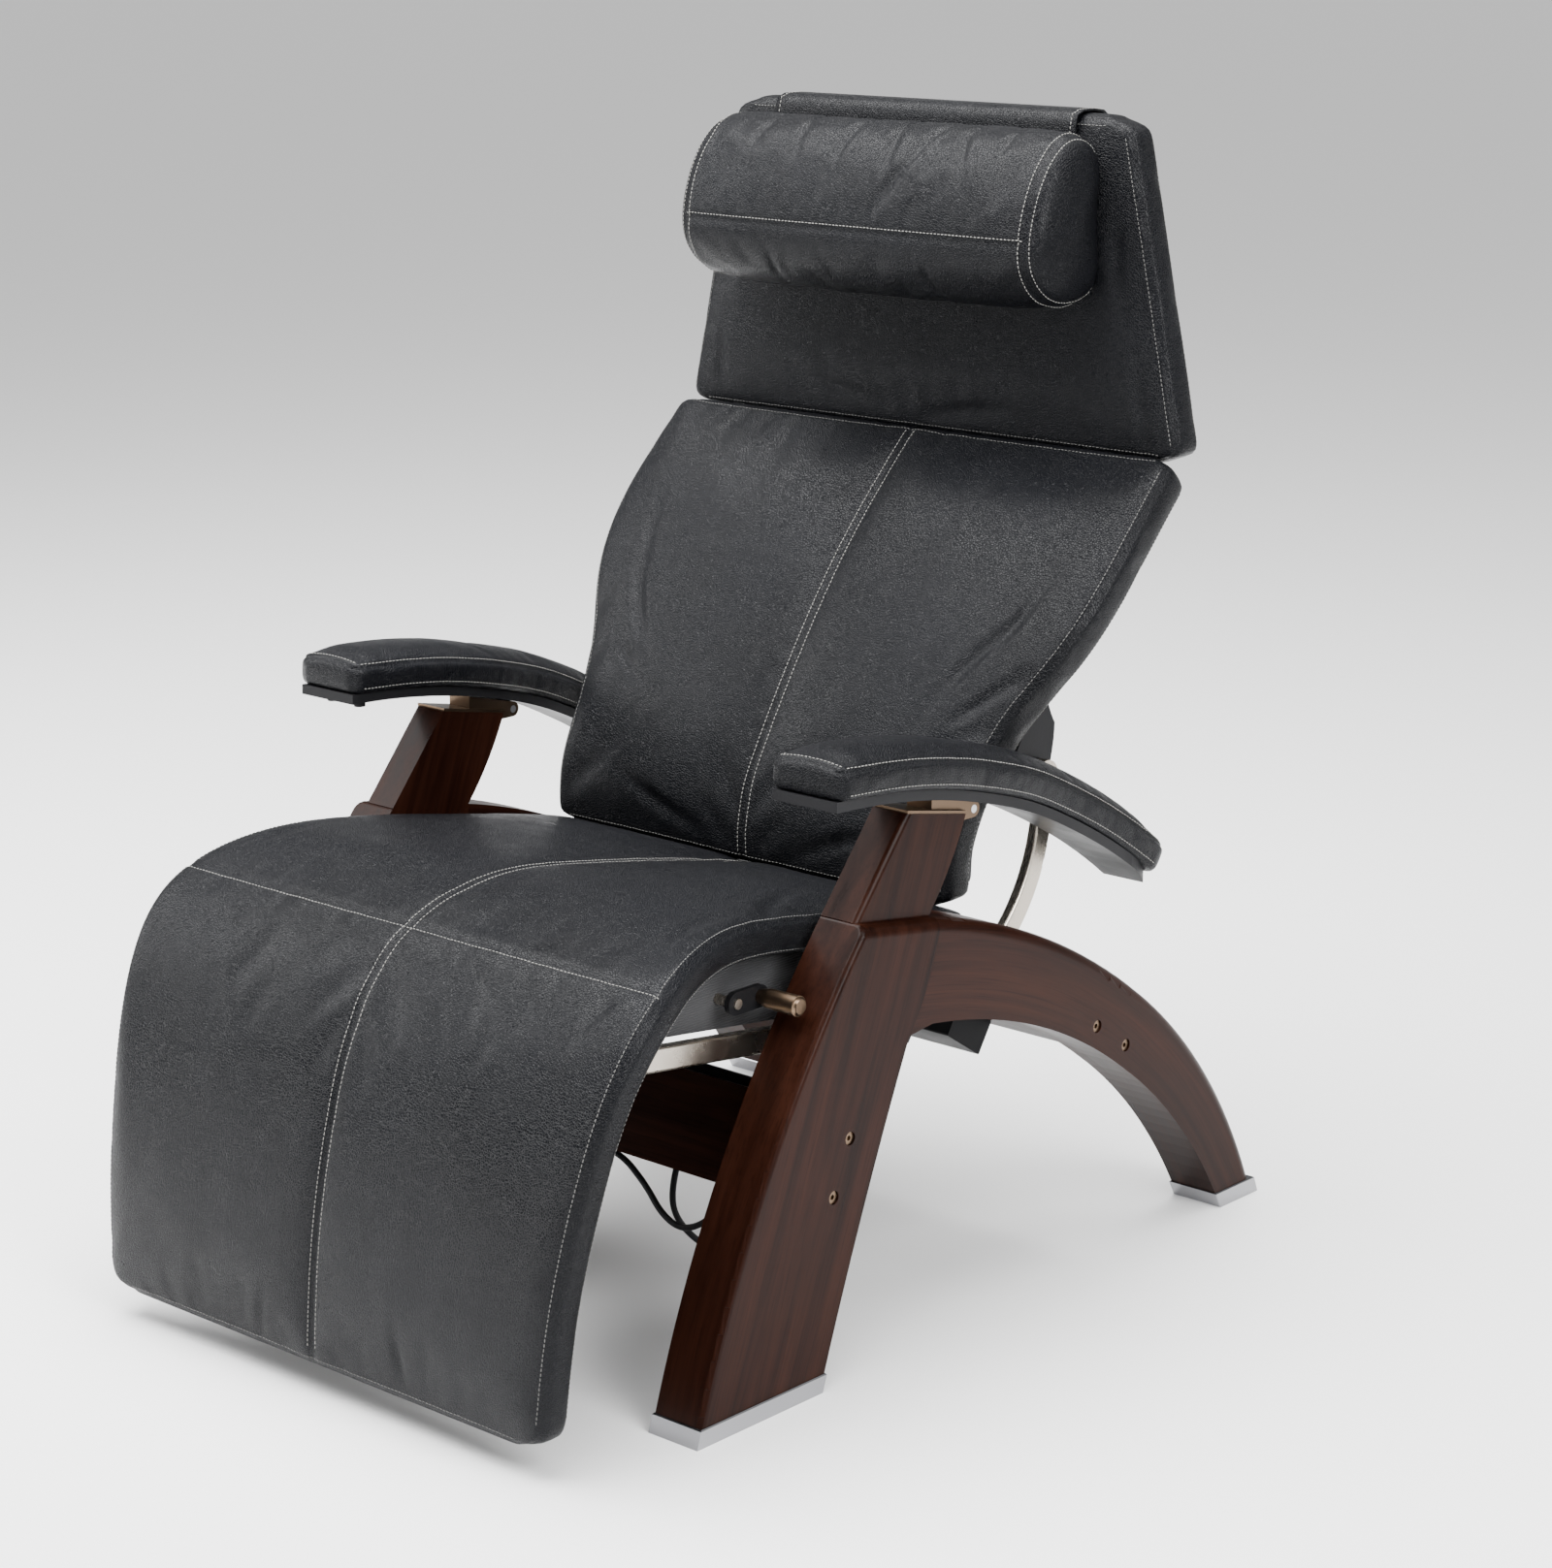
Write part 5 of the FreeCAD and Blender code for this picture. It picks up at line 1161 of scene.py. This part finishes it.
class RECLINER_OT_stage(bpy.types.Operator):
    """Pale floor, soft light from all sides, and the camera"""

    bl_idname = "recliner.stage"
    bl_label = "Stage"

    def execute(self, context):
        self.floor()
        self.lights(context)
        self.camera(context)
        return {"FINISHED"}

    def floor(self):
        """A large sheet of pale paper."""
        mesh = bpy.data.meshes.new("floor")
        corners = [(x * FLOOR_REACH, y * FLOOR_REACH, 0) for x, y in ((-1, -1), (1, -1), (1, 1), (-1, 1))]
        mesh.from_pydata(corners, [], [(0, 1, 2, 3)])
        paper, _ = new_material("floor_paper", (0.86, 0.86, 0.86), 0.75)
        mesh.materials.append(paper)
        put_in_scene("floor", mesh)

    def lights(self, context):
        """Studio wall, bright along the floor and overhead and dimmer between, and large soft lights."""
        world = bpy.data.worlds.new("studio")
        world.use_nodes = True
        tree = world.node_tree
        direction = tree.nodes.new("ShaderNodeTexCoord")
        split = tree.nodes.new("ShaderNodeSeparateXYZ")
        ramp = tree.nodes.new("ShaderNodeValToRGB")
        tree.links.new(direction.outputs["Generated"], split.inputs[0])
        tree.links.new(split.outputs["Z"], ramp.inputs[0])
        tree.links.new(ramp.outputs[0], tree.nodes["Background"].inputs["Color"])
        stops = ramp.color_ramp.elements
        stops[0].position, stops[1].position = STUDIO_WALL[0][0], STUDIO_WALL[-1][0]
        for place, _ in STUDIO_WALL[1:-1]:
            stops.new(place)
        for stop, (_, level) in zip(stops, STUDIO_WALL):
            stop.color = (level, level, level, 1)
        tree.nodes["Background"].inputs["Strength"].default_value = STUDIO_STRENGTH
        context.scene.world = world
        for light in STUDIO_LIGHTS:
            soft_light(*light)

    def camera(self, context):
        """Camera on a sphere round the aim, moved a little sideways and down."""
        yaw, pitch = math.radians(CAMERA_YAW), math.radians(CAMERA_PITCH)
        back = Vector((math.sin(yaw) * math.cos(pitch), -math.cos(yaw) * math.cos(pitch), math.sin(pitch)))
        right = Vector((math.cos(yaw), math.sin(yaw), 0))
        up = back.cross(right)
        lens = bpy.data.cameras.new("camera")
        lens.sensor_width, lens.lens, lens.clip_end = CAMERA_SENSOR, CAMERA_LENS, CAMERA_REACH
        camera = put_in_scene("camera", lens)
        turn = Matrix((right, up, back)).transposed()
        place = (Vector(CAMERA_AIM) + back * CAMERA_DISTANCE + right * CAMERA_SHIFT_RIGHT
                 - up * CAMERA_SHIFT_DOWN)
        camera.matrix_world = Matrix.Translation(place) @ turn.to_4x4()
        context.scene.camera = camera


# finishes of the metal and plastic parts: how each is made, and the nodes that have it
WORKS = {
    "chrome": (lambda: plated("chrome", (0.33, 0.33, 0.345), 0.2, wear=0.04),
               ("front_foot_caps", "rear_foot_caps")),
    "nickel_steel": (lambda: plated("nickel_steel", colours().nickel, 0.27),
                     ("left_side_rail", "right_side_rail", "front_cross_tube", "pivot_cross_tube",
                      "back_hinge_shaft", "hanger_plates", "lock_lever_pin")),
    "bronze": (lambda: plated("bronze", (0.13, 0.088, 0.058), 0.34),
               ("frame_bolts", "left_arm_hinge_block", "right_arm_hinge_block", "pivot_flanges",
                "lock_lever_grip", "pivot_pins")),
    "black_steel": (lambda: moulded("black_steel", (0.010, 0.010, 0.011), 0.36, grain=420.0, metallic=0.3),
                    ("back_brackets", "head_bars", "drive_lever", "actuator_bracket", "lock_lever_arm",
                     "left_arm_tongue", "right_arm_tongue")),
    "zinc_steel": (lambda: plated("zinc_steel", (0.56, 0.56, 0.58), 0.3),
                   ("barrel_nuts", "flange_screws", "arm_pins", "actuator_anchor_pin", "actuator_drive_pin",
                    "actuator_rod")),
    "black_plastic": (lambda: moulded("black_plastic", (0.010, 0.010, 0.011), 0.42),
                      ("left_arm_panel", "right_arm_panel", "control_box", "supply_box", "cable_glands",
                       "actuator_gearbox", "actuator_motor", "left_inner_button", "left_outer_button",
                       "right_inner_button", "right_outer_button")),
}


# the operators in the order that they run
PANEL_ORDER = ("base", "works", "covers", "seat", "back", "head", "pillow", "strap", "arms", "cables",
               "stage")


class RECLINER_PT_sidebar(bpy.types.Panel):
    """Buttons for the pieces of the recliner, in the order that they are built"""

    bl_label = "Zero Gravity Recliner"
    bl_space_type = "VIEW_3D"
    bl_region_type = "UI"
    bl_category = "Recliner"

    def draw(self, context):
        for name in PANEL_ORDER:
            self.layout.operator("recliner." + name)
        for group in (context.scene.recliner_colours, context.scene.recliner_sewing):
            for key in group.bl_rna.properties.keys():
                if key not in ("rna_type", "name"):
                    self.layout.prop(group, key)


CLASSES = (ReclinerColours, ReclinerSewing, RECLINER_OT_base, RECLINER_OT_works, RECLINER_OT_covers,
           RECLINER_OT_seat, RECLINER_OT_back, RECLINER_OT_head, RECLINER_OT_pillow, RECLINER_OT_strap,
           RECLINER_OT_arms, RECLINER_OT_cables, RECLINER_OT_stage, RECLINER_PT_sidebar)


def register():
    for kind in CLASSES:
        bpy.utils.register_class(kind)
    bpy.types.Scene.recliner_colours = bpy.props.PointerProperty(type=ReclinerColours)
    bpy.types.Scene.recliner_sewing = bpy.props.PointerProperty(type=ReclinerSewing)


def unregister():
    del bpy.types.Scene.recliner_sewing
    del bpy.types.Scene.recliner_colours
    for kind in reversed(CLASSES):
        bpy.utils.unregister_class(kind)


def main():
    register()
    for name in PANEL_ORDER:
        result = getattr(bpy.ops.recliner, name)()
        if result != {"FINISHED"}:
            raise RuntimeError("recliner." + name + " did not finish")


if __name__ == "__main__":
    main()
